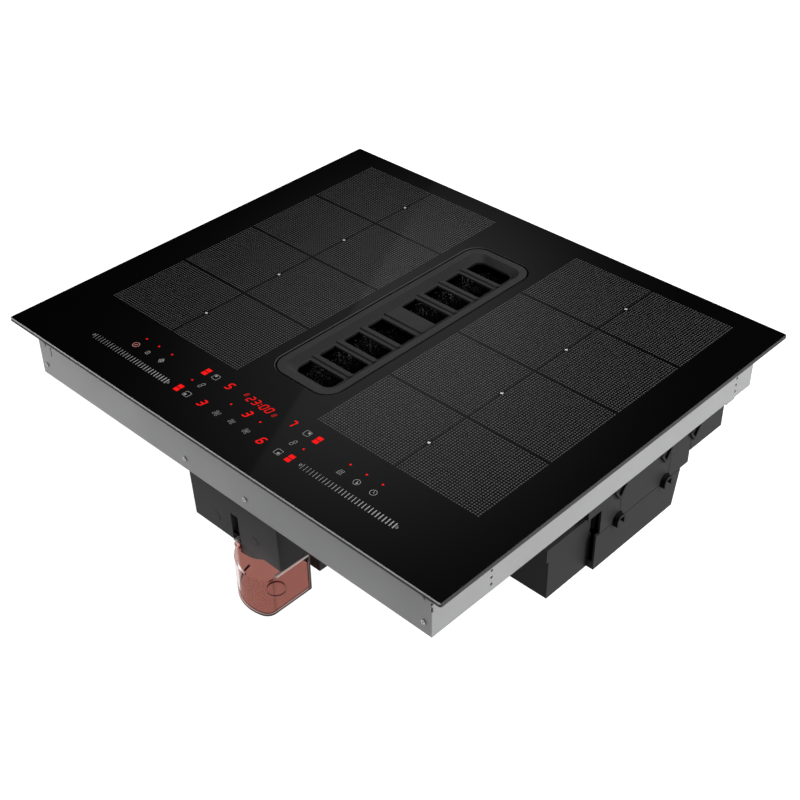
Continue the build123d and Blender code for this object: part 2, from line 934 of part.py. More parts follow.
def chamber(inset):
    """The suction box inset by a wall: narrower towards its bottom, shallow at the sump, deep behind it."""
    deep = extrude(box_outline(box_front_y, box_back_y, inset), amount=inset - box_height, taper=box_draft)
    step = box_step_y + inset
    return deep - block(-box_top_half, box_top_half, box_front_y, step, box_bottom, sump_bottom + inset)


def make_suction_box():
    cavity = chamber(box_wall)
    box = chamber(0) - cavity
    # pocket that takes the container's tongue
    pocket_top = sump_bottom + latch_slot_height
    front = sump_front()
    half = latch_slot_half
    back = front + latch_pocket_depth
    box += block(-half - box_wall, half + box_wall, front + box_wall / 2, back + box_wall,
                 sump_bottom, pocket_top + box_wall)
    box -= block(-half, half, box_front_y, back, sump_bottom, pocket_top)
    # drip skirt and nozzle that reach into the container
    box += make_skirt()
    box += post(nozzle_x, nozzle_y, sump_bottom - nozzle_length, sump_bottom + box_wall, nozzle_radius)
    box -= post(nozzle_x, nozzle_y, sump_bottom - nozzle_length, sump_bottom + box_wall, nozzle_bore)
    # round marks on the front, screw bosses, and the way into the blower
    for x in (-mark_x, mark_x):
        mark = rod_y(x, front - mark_height * 2, front + box_wall, mark_z, mark_radius)
        box += mark - cavity
    for side in (-1, 1):
        for x, y in module_screws_on(side):
            boss = post(x, y, tray_bottom - boss_height, tray_bottom, boss_radius)
            box += boss - post(x, y, tray_bottom - boss_height, tray_bottom, module_screw_radius)
            near = module_screw_x + module_screw_radius + screw_play
            box += side_block(side, near, box_top_half - box_wall, y - box_wall / 2, y + box_wall / 2,
                              tray_bottom - boss_height, tray_bottom)
    return box - rod_x(nozzle_x, box_top_half, axis_y, axis_z, inlet_bore + inlet_wall + slide_gap)


def make_skirt():
    """A rib under the sump that guides drips, half a circular segment seen from the front."""
    arc_radius = (skirt_reach ** 2 + skirt_drop ** 2) / (2 * skirt_drop)
    segment = Pos(0, sump_bottom - skirt_drop + arc_radius) * Circle(arc_radius)
    low = sump_bottom - skirt_drop
    high = sump_bottom + box_wall
    segment &= Pos((skirt_start + skirt_reach) / 2, (low + high) / 2) * Rectangle(
        skirt_reach - skirt_start, high - low)
    return extrude(Plane.XZ.offset(-skirt_y) * segment, amount=skirt_wall / 2, both=True)


def sump_front():
    """Y of the sump's front wall, half way down, where the draft has moved it."""
    return box_front_y + sump_height * sin(box_draft * pi / 180)


def container_outline(grow):
    """A D-shaped plan: a round front, cut flat on the right."""
    width = container_right_x - container_left_x
    centre_x = (container_left_x + container_right_x) / 2
    front = container_arc_y - container_arc
    outline = Pos(container_arc_x, container_arc_y) * Circle(container_arc)
    outline &= Pos(centre_x, (front + container_arc_y) / 2) * Rectangle(width, container_arc)
    outline += Pos(centre_x, (container_arc_y + container_back_y) / 2) * Rectangle(
        width, container_back_y - container_arc_y)
    corners = outline.vertices()
    outline = fillet(corners.sort_by(Axis.Y)[-2:], container_back_corner)
    reach = sqrt(container_arc ** 2 - (container_right_x - container_arc_x) ** 2)
    corner = Vertex(container_right_x, container_arc_y - reach, 0)
    nearest = outline.vertices().sort_by_distance(corner)[0]
    outline = fillet(nearest, container_corner)
    return offset(outline, grow) if grow else outline


def make_container():
    top = sump_bottom - rest_gap
    bottom = top - container_height
    shape = extrude(Pos(0, 0, bottom) * container_outline(0), amount=container_height)
    shape = fillet(shape.faces().sort_by(Axis.Z)[0].edges(), container_foot)
    shape += extrude(Pos(0, 0, top - container_rim_height) * container_outline(container_rim),
                     amount=container_rim_height)
    cavity = extrude(Pos(0, 0, bottom + container_wall) * container_outline(-container_wall),
                     amount=container_height)
    shape -= cavity
    boss_y = container_arc_y - floor_boss_shift
    shape += post(container_arc_x, boss_y, bottom + container_wall / 2,
                  bottom + container_wall + floor_boss_height, floor_boss_radius)
    # the springy tongue that snaps into the sump's slot
    back = skirt_y - skirt_wall / 2 - 2 * rest_gap
    tongue = block(-tongue_half, tongue_half, back - tongue_thickness, back,
                   top - tongue_root, top + tongue_height)
    return shape + tongue


# blower


def polygon_along_x(points, x0, x1):
    """A YZ outline carried along X."""
    face = make_face(Polyline(*[(y, z) for y, z in points], close=True))
    return extrude(Plane.YZ.offset(x0) * face, amount=x1 - x0)


def lower_outline(inset):
    """The lower shell's YZ outline: upright in front, leaning at the back."""
    front = blower_front_y + inset
    low = box_bottom + inset
    lean = blower_back_lean * inset / (seam_z - box_bottom)
    back = blower_back_y - inset
    return [(front, seam_z), (front, low), (back + lean, low), (back + blower_back_lean, seam_z)]


def upper_outline(inset):
    """The upper shell's YZ outline, with its overhang in front."""
    front = upper_front_y + inset
    overhang = upper_overhang_y + inset
    step = upper_overhang_z + inset
    back = upper_back_y - inset
    low = seam_z + inset
    high = tray_bottom - inset
    return [(front, low), (front, step), (overhang, step), (overhang, high), (back, high), (back, low)]


def make_lower_shell():
    left, right = blower_left_x, blower_right_x
    shell = polygon_along_x(lower_outline(0), left, right)
    shell -= polygon_along_x(lower_outline(shell_wall), left + shell_wall, right - shell_wall)
    shell -= rod_x(left, left + shell_wall, axis_y, axis_z, inlet_bore + inlet_wall)
    slot_left = control_box_right_x + front_slot_left
    shell -= block(slot_left, right - shell_wall, blower_front_y, blower_front_y + shell_wall,
                   front_slot_bottom, seam_z)
    # a fine groove along the seam
    return shell - block(right - groove_depth, right, blower_front_y, blower_back_y + blower_back_lean,
                         seam_z - seam_groove, seam_z)


def make_upper_shell():
    left, right = blower_left_x, blower_right_x
    shell = polygon_along_x(upper_outline(0), left, right)
    shell -= polygon_along_x(upper_outline(shell_wall), left + shell_wall, right - shell_wall)
    # the floor is open over the lower shell
    front = upper_front_y + shell_wall
    back = blower_back_y + blower_back_lean - shell_wall
    shell -= block(left + shell_wall, right - shell_wall, front, back, seam_z, seam_z + shell_wall)
    shell -= rod_x(left, left + shell_wall, axis_y, axis_z, inlet_bore + inlet_wall)
    # the way out to the duct, inside its walls
    shell -= block(left + shell_wall, right - shell_wall, upper_back_y - shell_wall, upper_back_y,
                   tray_bottom - duct_height + duct_wall, tray_bottom - shell_wall)
    lip_y = blower_back_y + blower_back_lean
    shell += block(left, right - groove_depth, lip_y, upper_back_y + seam_lip, seam_z - seam_lip,
                   seam_z + seam_lip)
    # the slot that goes on from the lower shell's
    slot_left = control_box_right_x + front_slot_left
    shell -= block(slot_left, right - shell_wall, upper_front_y, upper_front_y + shell_wall,
                   seam_z, upper_overhang_z)
    half = groove_width / 2
    for y in groove_ys:
        shell -= block(right - groove_depth, right, y - half, y + half, seam_z, tray_bottom)
    for y in clip_ys:
        shell -= clip_arch(y, right - pocket_depth, right, pocket_play)
    return shell


def clip_arch(y, x0, x1, play):
    """An arch over the seam, widened by a play."""
    half = clip_width / 2 + play
    arch = rod_x(x0, x1, y, seam_z + clip_rise - clip_width / 2, half)
    arch &= block(x0, x1, y - half, y + half, seam_z, tray_bottom)
    return arch + block(x0, x1, y - half, y + half, seam_z, seam_z + clip_rise - clip_width / 2)


def make_clips():
    """Arched snap hooks across the seam, and small latches under the tray."""
    clips = []
    face = blower_right_x
    for y in clip_ys:
        half = clip_width / 2
        inner = half - clip_wire
        proud = face + clip_proud
        arch = clip_arch(y, face - pocket_depth, proud, 0)
        arch -= block(face - pocket_depth, proud, y - inner, y + inner, seam_z,
                      seam_z + clip_rise - clip_wire)
        arch += block(face, proud, y - half, y - inner, seam_z - clip_drop, seam_z)
        arch += block(face, proud, y + inner, y + half, seam_z - clip_short, seam_z)
        clips.append(arch)
    for y in latch_ys:
        high = latch_tip_z + latch_height
        half = latch_width - latch_stroke
        crook = latch_tip_z + latch_stroke * latch_height / latch_width
        points = [(y - latch_width, high), (y, latch_tip_z), (y + latch_width, high),
                  (y + half, high), (y, crook), (y - half, high)]
        clips.append(polygon_along_x(points, face, face + latch_proud))
    return group(clips)


def make_blower_inlet():
    """A ring that leads the air from the suction box to the wheel."""
    start = box_top_half - box_wall - inlet_overlap
    end = wheel_left_x - inlet_overlap
    ring = rod_x(start, end, axis_y, axis_z, inlet_bore + inlet_wall)
    return ring - rod_x(start, end, axis_y, axis_z, inlet_bore)


def spiral_point(t, extra):
    """A point on the scroll, at t of its three quarters of a turn from the back, downwards."""
    radius = scroll_start + (scroll_end - scroll_start) * t + extra
    angle = 1.5 * pi * t
    return axis_y + radius * cos(angle), axis_z - radius * sin(angle)


def spiral_curve(extra):
    pieces = Curve()
    for i in range(scroll_steps):
        start, middle, end = (spiral_point((i + part) / scroll_steps, extra) for part in (0, 0.5, 1))
        pieces += ThreePointArc(start, middle, end)
    return pieces


def make_scroll():
    """The spiral wall round the wheel, with its straight way out to the back."""
    inner, outer = spiral_curve(0), spiral_curve(scroll_wall)
    back = upper_back_y - shell_wall
    tongue_in, tongue_out = spiral_point(0, 0), spiral_point(0, scroll_wall)
    roof_in, roof_out = spiral_point(1, 0), spiral_point(1, scroll_wall)
    start = Line(tongue_in, tongue_out)
    roof = Polyline(roof_in, (back, roof_in[1]), (back, roof_out[1]), roof_out)
    wall = make_face(inner + outer + start + roof)
    left, right = blower_left_x + shell_wall, blower_right_x - shell_wall
    scroll = extrude(Plane.YZ.offset(left) * wall, amount=right - left)
    floor = block(left, right, tongue_out[0] - scroll_wall / 2, back, axis_z, axis_z + scroll_wall)
    return scroll + floor


def make_wheel():
    """A drum of forward blades between a disc and a ring."""
    wheel = rod_x(wheel_right_x - wheel_disc, wheel_right_x, 0, 0, wheel_radius)
    ring = rod_x(wheel_left_x, wheel_left_x + wheel_ring, 0, 0, wheel_radius)
    wheel += ring - rod_x(wheel_left_x, wheel_left_x + wheel_ring, 0, 0, wheel_radius - wheel_depth)
    middle = wheel_radius - wheel_depth / 2
    for i in range(wheel_blades):
        blade = block(wheel_left_x, wheel_right_x, -wheel_depth / 2, wheel_depth / 2,
                      -blade_thickness / 2, blade_thickness / 2)
        turned = Pos(0, middle - blade_thickness, 0) * Rot(X=wheel_blade_tilt) * blade
        wheel += Rot(X=360 / wheel_blades * i) * turned
    return Pos(0, axis_y, axis_z) * wheel


def make_motor_rotor():
    """The cup of an outer-rotor motor, with its shaft, on the wheel's disc."""
    right = wheel_right_x + motor_length
    cup = rod_x(wheel_right_x, right, axis_y, axis_z, motor_radius)
    cup -= rod_x(wheel_right_x + motor_wall, right, axis_y, axis_z, motor_radius - motor_wall)
    end = blower_right_x - shell_wall - bracket_thickness
    return cup + rod_x(wheel_right_x, end, axis_y, axis_z, shaft_radius)


def motor_tube():
    """X from and to of the tube that holds the bearings and the stator."""
    start = wheel_right_x + 2 * motor_wall
    return start, blower_right_x - shell_wall


def make_motor_bracket():
    start, end = motor_tube()
    bracket = rod_x(start, end, axis_y, axis_z, stator_inner)
    bracket += rod_x(end - bracket_thickness, end, axis_y, axis_z, bracket_radius)
    return bracket - rod_x(start, end, axis_y, axis_z, tube_bore)


def make_bearings():
    start, end = motor_tube()
    bearings = []
    for x in (start, end - bracket_thickness - bearing_width):
        ring = rod_x(x, x + bearing_width, axis_y, axis_z, tube_bore)
        bearings.append(ring - rod_x(x, x + bearing_width, axis_y, axis_z, shaft_radius + shaft_play))
    return group(bearings)


def make_stator():
    start = motor_tube()[0]
    outer = motor_radius - motor_wall - stator_gap
    stator = rod_x(start, start + stator_length, axis_y, axis_z, outer)
    return stator - rod_x(start, start + stator_length, axis_y, axis_z, stator_inner)


def duct_body(wall):
    """The duct's outline, as wide as the blower at first and then as wide as the outlet."""
    right = blower_right_x - wall
    left = blower_right_x - duct_width + wall
    low = tray_bottom - duct_height + wall
    top = tray_bottom - wall
    wide = block(left, right, box_back_y + duct_play + wall, duct_back_y, low, top)
    return wide + block(blower_left_x + wall, right, upper_back_y, duct_back_y, low, top)


def make_duct():
    """A flat rectangular outlet, open at the blower and at the back."""
    duct = duct_body(0) - duct_body(duct_wall)
    # a fine groove at the joint with the upper shell
    right = blower_right_x
    return duct - block(right - groove_depth, right, upper_back_y, upper_back_y + groove_width,
                        tray_bottom - duct_height, tray_bottom)


# blower control box


def make_control_box():
    top = box_bottom + control_box_height
    wall = control_box_wall
    box = block(control_box_left_x, control_box_right_x, control_box_front_y, blower_front_y, box_bottom, top)
    return box - block(control_box_left_x + wall, control_box_right_x - wall, control_box_front_y + wall,
                       blower_front_y - wall, box_bottom + wall, top)


def make_control_lid():
    low = box_bottom + control_box_height
    top = low + lid_height
    wall = control_box_wall
    front = control_box_front_y - lid_overhang
    lid = block(control_box_left_x - lid_lip, control_box_right_x + lid_lip, front, blower_front_y, low, top)
    return lid - block(control_box_left_x + wall, control_box_right_x - wall, front + wall,
                       blower_front_y - wall, low, top - wall)


def make_fan_board():
    margin = control_box_wall + fan_board_margin
    low = box_bottom + control_box_wall
    board = block(control_box_left_x + margin, control_box_right_x - margin, control_box_front_y + margin,
                  blower_front_y - margin, low + fan_board_rise, low + fan_board_rise + board_thickness)
    middle_y = (control_box_front_y + blower_front_y) / 2
    for x in (control_box_left_x + 2 * margin, control_box_right_x - 2 * margin):
        board += post(x, middle_y, low, low + fan_board_rise, standoff_radius)
    return board


# all nodes

nodes = {
    "glass_plate": make_glass(),
    "seal_tape": make_seal(),
    "glass_rails": make_glass_rails(),
    "tray": make_tray(),
    "cross_beams": make_beams(),
    "case_screws": make_case_screws(),
    "module_screws": make_module_screws(),
    "intake_grille": make_grille(),
    "intake_collar": make_collar(),
    "filter_frame": make_filter_frame(),
    "filter_mesh": make_filter_mesh(),
    "intake_funnel": make_funnel(),
    "ferrite_bars": make_ferrites(),
    "coil_sensors": make_sensors(),
    "mica_sheets": make_mica(),
    "plate_springs": make_springs(),
    "power_parts": make_power_parts(),
    "control_board": make_control_board(),
    "control_carrier": make_control_carrier(),
    "display_modules": make_displays(),
    "touch_springs": make_touch_springs(),
    "terminal_block": make_terminal_block(),
    "cable_gland": make_gland(),
    "mains_harness": make_harness(),
    "suction_box": make_suction_box(),
    "drip_container": make_container(),
    "blower_lower_shell": make_lower_shell(),
    "blower_upper_shell": make_upper_shell(),
    "snap_clips": make_clips(),
    "blower_inlet": make_blower_inlet(),
    "blower_scroll": make_scroll(),
    "blower_wheel": make_wheel(),
    "motor_rotor": make_motor_rotor(),
    "motor_stator": make_stator(),
    "motor_bracket": make_motor_bracket(),
    "motor_bearings": make_bearings(),
    "outlet_duct": make_duct(),
    "fan_control_box": make_control_box(),
    "fan_control_lid": make_control_lid(),
    "fan_control_board": make_fan_board(),
}

for side, name in ((-1, "left"), (1, "right")):
    nodes[f"coil_plate_{name}"] = make_coil_plate(side)
    nodes[f"board_support_{name}"] = make_board_support(side)
    nodes[f"power_board_{name}"] = make_power_board(side)
    nodes[f"heat_sink_{name}"] = make_heat_sink(side)
    nodes[f"cooling_fan_frame_{name}"] = make_fan_frame(side)
    nodes[f"cooling_rotor_{name}"] = make_fan_rotor(side)
    for number, y in enumerate(zone_centres(), start=1):
        nodes[f"coil_{name}_{number}"] = make_coil(side * zone_x, y)

os.makedirs("parts", exist_ok=True)
for name, shape in nodes.items():
    export_step(shape, f"parts/{name}.step")
print(len(nodes), "nodes written")
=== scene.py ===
import json
import math
import bpy
import numpy as np
from mathutils import Matrix, Vector

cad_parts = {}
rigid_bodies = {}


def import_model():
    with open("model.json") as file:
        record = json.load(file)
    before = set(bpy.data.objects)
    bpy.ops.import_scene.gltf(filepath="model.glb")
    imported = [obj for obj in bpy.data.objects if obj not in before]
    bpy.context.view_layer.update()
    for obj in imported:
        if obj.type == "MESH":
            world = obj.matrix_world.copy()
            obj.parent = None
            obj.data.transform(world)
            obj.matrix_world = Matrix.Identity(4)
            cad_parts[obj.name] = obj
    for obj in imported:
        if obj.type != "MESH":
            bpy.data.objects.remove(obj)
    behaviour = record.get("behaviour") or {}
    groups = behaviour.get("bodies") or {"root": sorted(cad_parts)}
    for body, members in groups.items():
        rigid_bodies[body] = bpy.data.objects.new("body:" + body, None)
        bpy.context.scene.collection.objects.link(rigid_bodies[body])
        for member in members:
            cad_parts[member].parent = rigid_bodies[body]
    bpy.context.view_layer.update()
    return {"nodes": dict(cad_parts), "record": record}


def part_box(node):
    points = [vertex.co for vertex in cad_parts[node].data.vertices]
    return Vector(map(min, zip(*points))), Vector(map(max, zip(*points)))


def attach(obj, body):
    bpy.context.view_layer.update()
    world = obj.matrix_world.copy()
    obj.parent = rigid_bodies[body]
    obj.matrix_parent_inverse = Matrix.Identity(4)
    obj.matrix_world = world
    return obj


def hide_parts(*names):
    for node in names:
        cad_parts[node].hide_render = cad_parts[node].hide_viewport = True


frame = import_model()
nodes = frame["nodes"]
mm = 0.001
print("frame loaded")


# shader helpers: a socket that does maths, and a maker of nodes

class Sock:
    # wraps one output socket, so that expressions on it add Math nodes
    def __init__(self, tree, out):
        self.tree = tree
        self.out = out

    def math(self, operation, other=None):
        values = [self] if other is None else [self, other]
        return self.tree.add("ShaderNodeMath", {"operation": operation}, dict(enumerate(values)))

    def __add__(self, other): return self.math("ADD", other)
    def __radd__(self, other): return self.math("ADD", other)
    def __mul__(self, other): return self.math("MULTIPLY", other)
    def __rmul__(self, other): return self.math("MULTIPLY", other)
    def __sub__(self, other): return self.math("SUBTRACT", other)
    def __rsub__(self, other): return self.tree.number("SUBTRACT", other, self)
    def __truediv__(self, other): return self.math("DIVIDE", other)
    def __abs__(self): return self.math("ABSOLUTE")
    def __lt__(self, other): return self.math("LESS_THAN", other)
    def __gt__(self, other): return self.math("GREATER_THAN", other)
    def fract(self): return self.math("FRACT")
    def smaller(self, other): return self.math("MINIMUM", other)
    def larger(self, other): return self.math("MAXIMUM", other)
    def power(self, other): return self.math("POWER", other)


class Paint:
    # one material or world with its node tree
    def __init__(self, owner):
        owner.use_nodes = True
        self.owner = owner
        self.nodes = owner.node_tree.nodes
        self.links = owner.node_tree.links
        self.nodes.clear()

    def add(self, kind, settings=None, inputs=None, output=0):
        # one node: its settings first, then the values or links of its sockets
        node = self.nodes.new(kind)
        for key, value in (settings or {}).items():
            if key == "stops":
                self.ramp(node.color_ramp, value)
            else:
                setattr(node, key, value)
        for key, value in (inputs or {}).items():
            socket = node.inputs[key]
            if isinstance(value, Sock):
                self.links.new(value.out, socket)
            else:
                socket.default_value = value
        return Sock(self, node.outputs[output]) if len(node.outputs) else node

    def ramp(self, ramp, stops):
        while len(ramp.elements) < len(stops):
            ramp.elements.new(0.5)
        for element, (place, shade) in zip(ramp.elements, stops):
            element.position = place
            element.color = grey(shade)

    def number(self, operation, first, second):
        return self.add("ShaderNodeMath", {"operation": operation}, {0: first, 1: second})

    def place(self):
        return self.add("ShaderNodeTexCoord", output="Object")

    def axes(self, vector=None):
        source = vector or self.place()
        split = self.nodes.new("ShaderNodeSeparateXYZ")
        self.links.new(source.out, split.inputs[0])
        return [Sock(self, split.outputs[i]) for i in range(3)]

    def facing(self):
        # the way the surface faces, as three numbers
        return self.axes(self.add("ShaderNodeTexCoord", output="Normal"))

    def between(self, value, start, end, first=0, last=1):
        # a ramp from first to last while value goes from start to end, level on both sides
        return self.add("ShaderNodeMapRange", {}, {0: value, 1: start, 2: end, 3: first, 4: last})

    def rays(self, *kinds):
        # 1 for the kinds of ray that are named, else 0
        path = self.nodes.new("ShaderNodeLightPath")
        total = 0
        for kind in kinds:
            total = Sock(self, path.outputs[kind]) + total
        return total.smaller(1)

    def noise(self, scale, detail=3, rough=0.5, vector=None):
        return self.add("ShaderNodeTexNoise", {}, {
            "Vector": vector or self.place(), "Scale": scale, "Detail": detail, "Roughness": rough})

    def mixColour(self, factor, first, second):
        return self.add("ShaderNodeMix", {"data_type": "RGBA"}, {0: factor, 6: first, 7: second}, output=2)

    def bump(self, height, strength, distance):
        return self.add("ShaderNodeBump", {}, {"Height": height, "Strength": strength, "Distance": distance})

    def surface(self, inputs):
        shader = self.add("ShaderNodeBsdfPrincipled", {}, inputs)
        self.finish(shader)
        return self.owner

    def finish(self, shader, output="ShaderNodeOutputMaterial"):
        self.add(output, {}, {"Surface": shader})


def paintFor(name):
    return Paint(bpy.data.materials.new(name))


def grey(value):
    return (value, value, value, 1)


def opaque(colour, share=1.0):
    # a colour in three numbers as four, lighter or darker by a share
    return (*[c * share for c in colour], 1)


# mesh helpers

def meshPiece(name, points, faces, material, body="cooktop"):
    mesh = bpy.data.meshes.new(name)
    mesh.from_pydata(np.asarray(points, float).tolist(), [], [list(map(int, f)) for f in faces])
    mesh.update()
    piece = bpy.data.objects.new(name, mesh)
    bpy.context.collection.objects.link(piece)
    mesh.materials.append(material)
    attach(piece, body)
    return piece


def gridFaces(rows, columns):
    # quads of a grid of points numbered row by row: each point, the one below, below right and right
    i, j = np.meshgrid(np.arange(rows - 1), np.arange(columns - 1), indexing="ij")
    start = (i * columns + j).ravel()
    return np.stack([start, start + columns, start + columns + 1, start + 1], 1)


def flatSheet(name, low, high, z, faceDown=False):
    # a rectangle at one height, for the stage
    (x0, y0), (x1, y1) = low, high
    corners = [(x0, y0, z), (x1, y0, z), (x1, y1, z), (x0, y1, z)]
    mesh = bpy.data.meshes.new(name)
    mesh.from_pydata(corners, [], [(0, 3, 2, 1) if faceDown else (0, 1, 2, 3)])
    sheet = bpy.data.objects.new(name, mesh)
    bpy.context.collection.objects.link(sheet)
    return sheet


def setMaterial(nodeName, material):
    node = nodes[nodeName]
    for part in [node, *node.children_recursive]:
        if part.type == "MESH":
            part.data.materials.clear()
            part.data.materials.append(material)


# the glass: sizes and places in millimetres, shades from 0 to 1

glass = {
    "top": 6.0, "dotPitchX": 3.05, "dotPitchY": 2.98, "dotRadius": 0.92,
    "zoneNear": 57.9, "zoneFront": -156.3, "dotColumns": 65, "dotRows": 130,
    "dividersY": (-61.0, 37.5, 135.7), "dividerX": 156.2, "dividerHalf": 0.9,
    "centresY": (-112.3, -11.3, 86.0, 184.0), "centreX": 155.8, "centreRadius": 1.45,
    "centreGap": 1.6, "centreShade": 0.75, "crossHalf": 5.5, "dotShade": 0.085, "glassShade": 0.0022,
    "printDepth": 0.3, "edgeDepth": 0.05, "rough": 0.04, "edgeRough": 0.8,
    # the ground edges: their grey, the painted highlight on the front's upper part and the painted shade
    # below the cut-out's bevel
    "edgeShade": 0.05, "edgeSplit": 4.8, "frontY": -254.1, "frontHighlight": 0.6, "frontLow": 0.06,
    "cutOut": 60.0, "cutOutEnd": 200.0, "bevel": 0.8, "cutOutPaintedShade": 0.003,
}


def glassMaterial():
    # square grid of printed dots in two zones, left out on the dividing lines and round the centres
    g = glass
    p = paintFor("blackGlass")
    x, y, z = p.axes()
    side = abs(x) * 1000
    deep = y * 1000
    column = (side - (g["zoneNear"] - g["dotPitchX"] / 2)) / g["dotPitchX"]
    row = (deep - (g["zoneFront"] - g["dotPitchY"] / 2)) / g["dotPitchY"]
    dx = (column.fract() - 0.5) * g["dotPitchX"]
    dy = (row.fract() - 0.5) * g["dotPitchY"]
    distance = (dx * dx + dy * dy).power(0.5)
    dot = distance < g["dotRadius"]
    inside = (column > 0) * (column < g["dotColumns"]) * (row > 0) * (row < g["dotRows"])
    lines = abs(side - g["dividerX"]) > g["dividerHalf"]
    for place in g["dividersY"]:
        lines = lines * (abs(deep - place) > g["dividerHalf"])
    white = None
    for place in g["centresY"]:
        ax = abs(side - g["centreX"])
        ay = abs(deep - place)
        near = (ax * ax + ay * ay).power(0.5)
        disc = near < g["centreRadius"]
        white = disc if white is None else white + disc
        arms = (ax < g["dividerHalf"]).larger(ay < g["dividerHalf"]) * (ax.larger(ay) < g["crossHalf"])
        lines = lines * (1 - arms) * (near > g["centreRadius"] * g["centreGap"])
    up = z > (g["top"] - g["printDepth"]) * mm
    dots = dot * inside * lines * up
    shade = p.mixColour(dots, grey(g["glassShade"]), grey(g["dotShade"]))
    shade = p.mixColour(white * up, shade, grey(g["centreShade"]))
    # ground edges: a painted highlight on the upper part of the front edge, darker on the other sides, and
    # painted shade on the cut-out's wall below its bevel, so only the bevel is light there
    edge = z < (g["top"] - g["edgeDepth"]) * mm
    rim = edge * (side < g["cutOut"]) * (abs(deep) < g["cutOutEnd"])
    front = edge * (deep < g["frontY"])
    lower = z < g["edgeSplit"] * mm
    shade = p.mixColour(edge, shade, grey(g["edgeShade"]))
    shade = p.mixColour(front, shade, p.mixColour(lower, grey(g["frontHighlight"]), grey(g["frontLow"])))
    shade = p.mixColour(rim * (z < (g["top"] - g["bevel"]) * mm), shade, grey(g["cutOutPaintedShade"]))
    rough = g["rough"] + edge * g["edgeRough"]
    return p.surface({"Base Color": shade, "Roughness": rough, "IOR": 1.5, "Specular IOR Level": 0.5})


# sheet metal, plastics and the rest

zinc = {
    "dark": (0.31, 0.31, 0.314), "light": (0.39, 0.39, 0.394), "grainScale": 160, "grainStretch": 14,
    "cloud": (0.28, 0.284, 0.288), "cloudShare": 0.35, "cloudScale": 14,
    # painted light on the faces that look to the front, and painted shade that grows on them towards the
    # right
    "front": (0.64, 0.642, 0.645), "frontLightShare": 0.3, "frontFacing": -0.7,
    "paintedShade": (0.18, 0.182, 0.184), "paintedShadeShare": 0.3, "paintedShadeFrom": -0.12, "paintedShadeTo": 0.08,
    # painted shade on the low edge of the rear tab
    "tabPaintedShade": (0.04, 0.04, 0.042), "tabZ": -65.0,
    "metallic": 0.15, "rough": 0.48, "roughSpread": 0.16, "bump": 0.08,
}


def zincMaterial():
    # grain drawn out along the sheet under a faint cloud; painted light makes the front lighter, painted
    # shade darkens it towards the right, and painted shade darkens the low edge of the rear tab
    s = zinc
    p = paintFor("zincSheet")
    x, y, z = p.axes()
    along = p.add("ShaderNodeCombineXYZ", {}, {0: x, 1: y, 2: z * s["grainStretch"]})
    grain = p.noise(s["grainScale"], 5, 0.65, along)
    cloud = p.noise(s["cloudScale"], 3, 0.5)
    shade = p.mixColour(grain, opaque(s["dark"]), opaque(s["light"]))
    shade = p.mixColour(cloud * s["cloudShare"], shade, opaque(s["cloud"]))
    _, facing, _ = p.facing()
    front = facing < s["frontFacing"]
    paintedShadeRamp = p.between(x, s["paintedShadeFrom"], s["paintedShadeTo"])
    shade = p.mixColour(front * s["frontLightShare"], shade, opaque(s["front"]))
    shade = p.mixColour(front * paintedShadeRamp * s["paintedShadeShare"], shade, opaque(s["paintedShade"]))
    # painted shade on the low edge of the rear tab, under the tray
    shade = p.mixColour(z < s["tabZ"] * mm, shade, opaque(s["tabPaintedShade"]))
    return p.surface({"Base Color": shade, "Metallic": s["metallic"],
                      "Roughness": s["rough"] + cloud * s["roughSpread"],
                      "Normal": p.bump(grain, s["bump"], 0.0002)})


# how far shade and roughness stray from a finish's own, and the depth of its grain in metres
finishes = {
    "darker": 0.85, "lighter": 1.15, "cloudScale": 18, "cloudRough": 0.12, "plasticDepth": 0.0002,
    "metalDark": 0.85, "metalRough": 0.1, "plainDark": 0.88, "metalDepth": 0.0001, "glowScale": 700,
}


def plasticMaterial(name, shade, rough=0.5, grainScale=2200, strength=0.12, gloss=0.05):
    # moulded plastic with a fine eroded grain and a faint cloud of gloss
    f = finishes
    p = paintFor(name)
    grain = p.noise(grainScale, 2, 0.6)
    cloud = p.noise(f["cloudScale"], 3, 0.5)
    base = p.mixColour(cloud, grey(shade * f["darker"]), grey(shade * f["lighter"]))
    return p.surface({"Base Color": base, "Roughness": rough + (cloud - 0.5) * f["cloudRough"],
                      "Specular IOR Level": gloss, "Normal": p.bump(grain, strength, f["plasticDepth"])})


grille = {
    "shade": 0.048, "rough": 0.5, "gloss": 0.25, "grainScale": 1500, "bump": 0.35,
    # painted shade on the walls that face the right: where it starts and is full, and how dark it is
    "wallFrom": 0.25, "wallTo": 0.8, "wallPaintedShadeShare": 0.8, "wallPaintedShade": 0.2,
}


def grilleMaterial():
    # textured dark grey, with painted shade on the walls that face the light from the right
    f, g = finishes, grille
    p = paintFor("grilleGrey")
    grain = p.noise(g["grainScale"], 2, 0.6)
    cloud = p.noise(f["cloudScale"], 3, 0.5)
    facing, _, _ = p.facing()
    wall = p.between(facing, g["wallFrom"], g["wallTo"])
    base = p.mixColour(cloud, grey(g["shade"] * f["darker"]), grey(g["shade"] * f["lighter"]))
    base = p.mixColour(wall * g["wallPaintedShadeShare"], base, grey(g["shade"] * g["wallPaintedShade"]))
    return p.surface({"Base Color": base, "Roughness": g["rough"] + (cloud - 0.5) * f["cloudRough"],
                      "Specular IOR Level": g["gloss"],
                      "Normal": p.bump(grain, g["bump"], f["plasticDepth"])})


